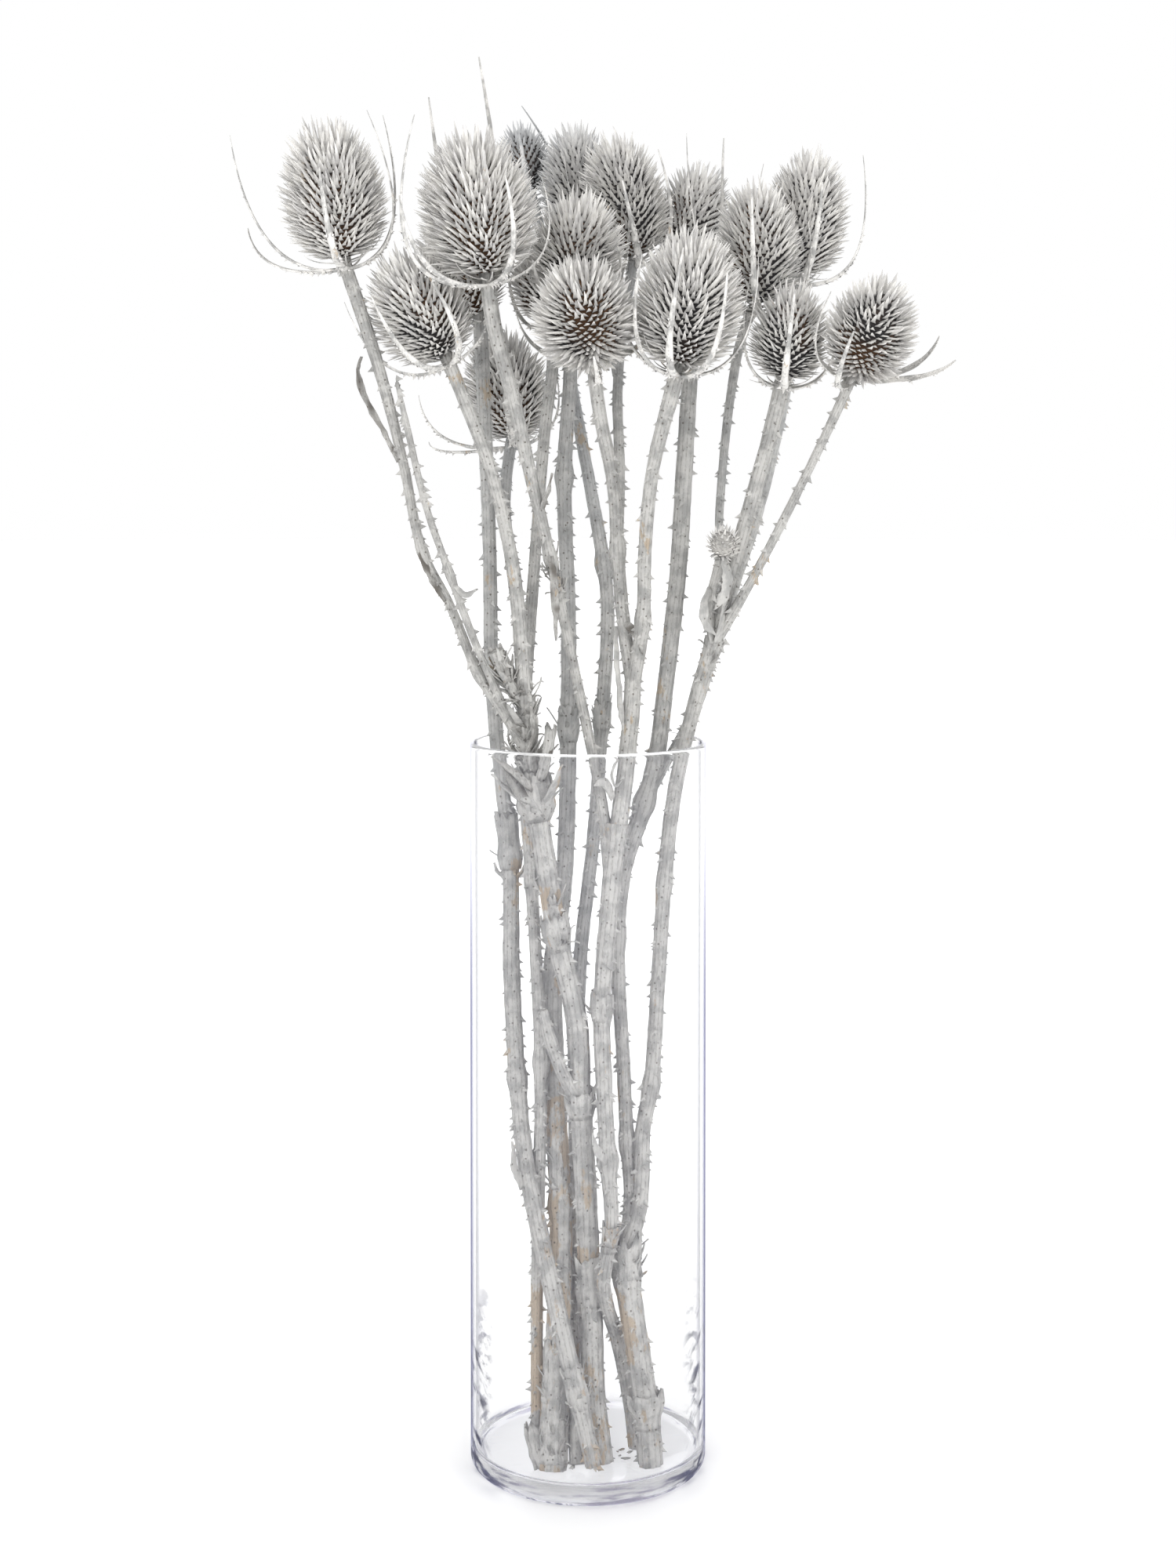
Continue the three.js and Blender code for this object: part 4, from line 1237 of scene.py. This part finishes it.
def limewash_group():
    """Chalky paint: mottled, with painted shade that makes it cooler and darker towards the back of the
    bunch, chipped to tan, and dark where its cavity mask says: dark marks, and painted shade in hollows and
    at the roots of spines.
    """
    group = bpy.data.node_groups.new("limewash", "ShaderNodeTree")
    colours = {"Chalk": CHALK, "Shade": CHALK_SHADE, "Bare": BARE_TAN, "Cavity colour": GROOVE_DARK}
    for name, colour in colours.items():
        socket(group, name, "Color", "INPUT", colour)
    for name in ("Cavity", "Chipping", "Scars", "Back shade from", "Back shade to"):
        socket(group, name, "Float", "INPUT", 0.0)
    socket(group, "Colour", "Color", "OUTPUT")
    socket(group, "Grain", "Float", "OUTPUT")
    web = Web(group)
    given = web.nodes.new("NodeGroupInput").outputs
    made = web.nodes.new("NodeGroupOutput").inputs
    spot = web.spot()
    _, depth, height = web.split(spot)
    fibres = web.noise(web.stretched(spot, FIBRE_STRETCH), FIBRE_SCALE, 5, 0.65)
    mottle = web.times(web.ramp(web.noise(spot, MOTTLE_SCALE), 0.32, 0.68), 0.6)
    mottle = web.ramp(web.maths("ADD", mottle, fibres), 0.42, 1.08)
    colour = web.blend(mottle, given["Shade"], given["Chalk"])
    # Painted shade, cooler and darker towards the back of the bunch
    back_shade = web.times(web.ramp(depth, given["Back shade from"], given["Back shade to"]), BACK_SHADE_SHARE)
    colour = web.blend(back_shade, colour, CHALK_BACK_SHADE)
    patch = web.noise(web.stretched(spot, TEAR_STRETCH), TEAR_SCALE, 7, 0.7)
    patch = web.maths("ADD", patch, web.times(web.ramp(height, *WORN_HEIGHTS), WORN_LOW))
    chip = web.ramp(web.maths("SUBTRACT", patch, given["Chipping"]), 0.0, CHIP_EDGE)
    colour = web.blend(web.times(chip, CHIPPED), colour, given["Bare"])
    colour = web.blend(given["Cavity"], colour, given["Cavity colour"])
    scars = web.add("TexVoronoi", Vector=spot, Scale=SCAR_SCALE).outputs["Distance"]
    speck = web.times(web.ramp(scars, *SCAR_EDGE), given["Scars"])
    web.set(made["Colour"], web.blend(speck, colour, given["Cavity colour"]))
    web.set(made["Grain"], web.maths("ADD", fibres, web.noise(spot, GRAIN_SCALE, 5, 0.7)))
    return group


def chalky_material(name, group, cavity, values, bump, bare=0.0):
    """A matt painted surface. cavity makes the mask of its dark places: dark marks, and painted shade.

    bare is how much sooner the paint chips where the piece's tone is 1.
    """
    material, web, shader = new_material(name, Specular_IOR_Level=0.25, Roughness=0.9)
    paint = web.nodes.new("ShaderNodeGroup")
    paint.node_tree = group
    for key, value in values.items():
        paint.inputs[key].default_value = value
    web.set(paint.inputs["Cavity"], cavity(web))
    if bare:
        worn = web.times(web.attribute("tone"), bare)
        web.set(paint.inputs["Chipping"], web.maths("SUBTRACT", values["Chipping"], worn))
    web.set(shader.inputs["Base Color"], paint.outputs["Colour"])
    web.set(shader.inputs["Normal"], web.relief(paint.outputs["Grain"], bump, GRAIN_DEPTH))
    return material


def groove_cavity(web):
    """Dark, broken marks along the grooves of a stalk, painted shade in the hollow of a stub, and withered
    places.
    """
    depth = web.attribute("groove")
    broken = web.ramp(web.noise(web.stretched(web.spot(), TEAR_STRETCH), GROOVE_SCALE, 3), 0.4, 0.65)
    broken = web.maths("ADD", web.times(broken, 0.4), 0.1)
    hole = web.times(web.ramp(depth, *HOLE_GROOVES), HOLE_DARKNESS)
    return web.maths("MAXIMUM", web.times(web.ramp(depth, 0.5, 1.0), broken), hole)


def spine_root_shade_and_tone(web):
    """Painted shade, dark at a spine's root and pale from a sixth of its length, and a little uneven from
    spine to spine by its own tone.
    """
    root = web.ramp(web.attribute("along"), SPINE_ROOT_SHADE, 0.0)
    dull = web.ramp(web.attribute("tone"), 0.35, 0.0, smooth=False)
    return web.maths("MAXIMUM", root, web.times(dull, 0.35))


def bract_cavity(web):
    """A thin painted shadow in the channel of a bract, which also darkens the whole core of a head without
    bracts.
    """
    return web.times(web.ramp(web.attribute("groove"), 0.7, 1.0), CHANNEL_SHADOW)


def shade_and_brown_core():
    """The core that shows between the spines: near-black painted shade, with patches of real brown dry
    tissue.
    """
    material, web, shader = new_material("core_shade_and_brown", Roughness=0.95, Specular_IOR_Level=0.1)
    spot = web.spot()
    brown = web.ramp(web.noise(spot, BROWN_SCALE, 3), 0.44, 0.58)
    # Near-black painted shade, broken by brown patches
    web.set(shader.inputs["Base Color"], web.blend(brown, GAP_PAINTED_SHADE, BROWN_GAP))
    web.set(shader.inputs["Normal"], web.relief(web.noise(spot, CORE_SCALE), 0.8, MM))
    return material


def reflection_streaks(web, place, stretch, lean, scale):
    """Long streaks of painted reflection in the thick glass. place is the three coordinates they follow."""
    joined = web.add("CombineXYZ", **dict(zip("XYZ", place))).outputs["Vector"]
    leaning = web.add("Mapping", Vector=joined, Rotation=(0, lean, 0)).outputs["Vector"]
    return web.noise(web.stretched(leaning, stretch), scale, 3)


def glass_material(name, painted_glow):
    """Clear glass with violet-grey edges and streaks low down, which lets light through to the stems. The
    edges are painted reflection and partly the tint of glass seen at a slant, the streaks are painted
    reflection, and the glow it is given is painted light.
    """
    material, web, shader = new_material(
        name, Roughness=0.0, IOR=GLASS_IOR, Transmission_Weight=1.0, Specular_Tint=GLASS_SHEEN,
        Emission_Color=WHITE, Emission_Strength=painted_glow,
    )
    across, depth, height = web.split(web.spot())
    aside = web.maths("ABSOLUTE", across)
    shifted = web.maths("ADD", depth, web.times(web.maths("SIGN", across), STREAK_SHIFT))
    side_place = (aside, shifted, height)
    side_reflections = reflection_streaks(web, side_place, SIDE_STREAK_STRETCH, SIDE_STREAK_LEAN, SIDE_STREAK_SCALE)
    base_place = (across, depth, height)
    base_reflections = reflection_streaks(web, base_place, BASE_STREAK_STRETCH, 0.0, BASE_STREAK_SCALE)
    facing = web.add("LayerWeight", Blend=0.5).outputs["Facing"]
    # Painted reflection: violet-grey at a slant, darker low down and paler at the heel, partly the tint of
    # glass seen at a slant
    low = web.times(web.ramp(height, *VIOLET_HEIGHTS), web.ramp(height, *PALE_HEEL_HEIGHTS))
    edge = web.ramp(facing, *EDGE_FACING)
    colour = web.blend(edge, GLASS_CLEAR, web.blend(low, GLASS_EDGE, GLASS_EDGE_LOW))
    squares = [web.maths("POWER", value, 2.0) for value in (across, depth)]
    from_axis = web.maths("SQRT", web.maths("ADD", *squares))
    outside = web.ramp(from_axis, VASE_RADIUS - 2 * VASE_WALL, VASE_RADIUS - VASE_WALL)
    # Painted reflection streaks low on the sides
    marks = web.times(
        web.ramp(side_reflections, *SIDE_STREAK_EDGE), web.ramp(facing, *SIDE_STREAK_FACING),
        web.ramp(height, *STREAK_HEIGHTS), outside,
    )
    colour = web.blend(marks, colour, GLASS_STREAK_REFLECTION)
    # Painted reflection marks in the thick base, lilac in the middle and dark towards its ends
    thick = web.ramp(height, 1.2 * VASE_FLOOR, VASE_FLOOR)
    base_marks = web.times(web.ramp(base_reflections, *BASE_STREAK_EDGE), thick, outside)
    ends = web.ramp(aside, 0.5 * VASE_RADIUS, 0.85 * VASE_RADIUS)
    colour = web.blend(base_marks, colour, web.blend(ends, GLASS_BASE_REFLECTION, GLASS_STREAK_REFLECTION))
    web.set(shader.inputs["Base Color"], colour)
    clear = web.add("BsdfTransparent", Color=colour)
    tinted = web.maths("MAXIMUM", web.maths("MAXIMUM", edge, marks), base_marks)
    shadow = web.add("LightPath").outputs["Is Shadow Ray"]
    either = web.add("MixShader", Fac=web.maths("MAXIMUM", shadow, web.times(tinted, TINT_SHARE)))
    web.set(either.inputs[1], shader.outputs["BSDF"])
    web.set(either.inputs[2], clear.outputs["BSDF"])
    web.set(web.nodes["Material Output"].inputs["Surface"], either.outputs["Shader"])
    return material


def build_floor():
    """A plain pale floor that runs on to the horizon, a little brighter far away."""
    part = bmesh.new()
    bmesh.ops.create_circle(part, cap_ends=True, segments=64, radius=FLOOR_RADIUS)
    floor = put("floor", mesh_of("floor", part))
    material, web, shader = new_material("pale_floor", Base_Color=WHITE, Roughness=0.6, Emission_Color=WHITE)
    distance = web.add("VectorMath")
    distance.operation = "LENGTH"
    web.set(distance.inputs[0], web.spot())
    far = web.ramp(distance.outputs["Value"], 0.1, 0.8)
    web.set(shader.inputs["Emission Strength"], web.times(far, FAR_GLOW))
    floor.data.materials.append(material)


def add_area_light(name, spot, target, size, power):
    """One large soft light that points at the target."""
    light = bpy.data.lights.new(name, "AREA")
    light.shape = "DISK"
    light.size = size
    light.energy = power
    lamp = put(name, light)
    lamp.location = spot
    lamp.rotation_euler = (Vector(target) - Vector(spot)).to_track_quat("-Z", "Y").to_euler()


def build_light():
    """White surroundings, a little darker where a surface mirrors them, and three soft lights."""
    world = bpy.data.worlds.new("studio")
    bpy.context.scene.world = world
    world.use_nodes = True
    web = Web(world.node_tree)
    shader = web.nodes["Background"]
    shader.inputs["Color"].default_value = WHITE
    path = web.add("LightPath").outputs
    upward = web.split(web.add("TexCoord").outputs["Generated"])["Z"]
    through = web.choose(web.ramp(upward, 0.3, 0.6), 1.0, MIRRORED)
    direct = web.maths("LESS_THAN", path["Diffuse Depth"], 0.5)
    strength = web.choose(web.times(path["Is Glossy Ray"], direct), SURROUNDINGS, MIRRORED)
    strength = web.choose(web.times(path["Is Transmission Ray"], direct), strength, through)
    web.set(shader.inputs["Strength"], web.choose(path["Is Camera Ray"], strength, 1.0))
    for lamp in LAMPS:
        add_area_light(*lamp)


def place_camera():
    """The photograph's view: a long lens a little above the middle of the bunch."""
    lens = bpy.data.cameras.new("view")
    lens.sensor_width = SENSOR
    lens.lens = SENSOR * FOCAL_PIXELS / IMAGE_LONG_SIDE
    lens.shift_y = CAMERA_SHIFT
    camera = put("view", lens)
    bpy.context.scene.camera = camera
    camera.location = (0, -EYE_DISTANCE, CAMERA_HEIGHT)
    camera.rotation_euler = (math.pi / 2 - CAMERA_TILT, 0, 0)


paint = limewash_group()
stalk_paint = chalky_material("stalk_paint", paint, groove_cavity, STALK_FINISH, 0.8, BARE_PLACES)
spine_paint = chalky_material("spine_paint", paint, spine_root_shade_and_tone, SPINE_FINISH, 0.1)
bract_paint = chalky_material("bract_paint", paint, bract_cavity, BRACT_FINISH, 0.5)
core_shade_paint = shade_and_brown_core()

spines = [
    pointed_template(f"spine_{kind}", SPINE_STATIONS, 3, rng.uniform(0.02, 0.2), rng.uniform(-0.08, 0.08))
    for kind in range(SPINE_KINDS)
]
prickle = pointed_template("prickle", PRICKLE_STATIONS, 4, 0.0, 0.0)

for row in STEMS:
    build_stalks(row, prickle, [stalk_paint])
    for number, head in enumerate(row["heads"], 1):
        name = f"{row['name']}.head_{number}"
        build_head(name, head, row["name"], spines, prickle, [spine_paint, core_shade_paint, bract_paint])
build_vase(
    glass_material("clear_glass_wall", 0.0), glass_material("glowing_glass_rim", RIM_PAINTED_GLOW),
    glass_material("glowing_glass_floor", FLOOR_PAINTED_GLOW),
)
build_floor()
build_light()
place_camera()
bpy.context.scene.view_settings.view_transform = "Standard"
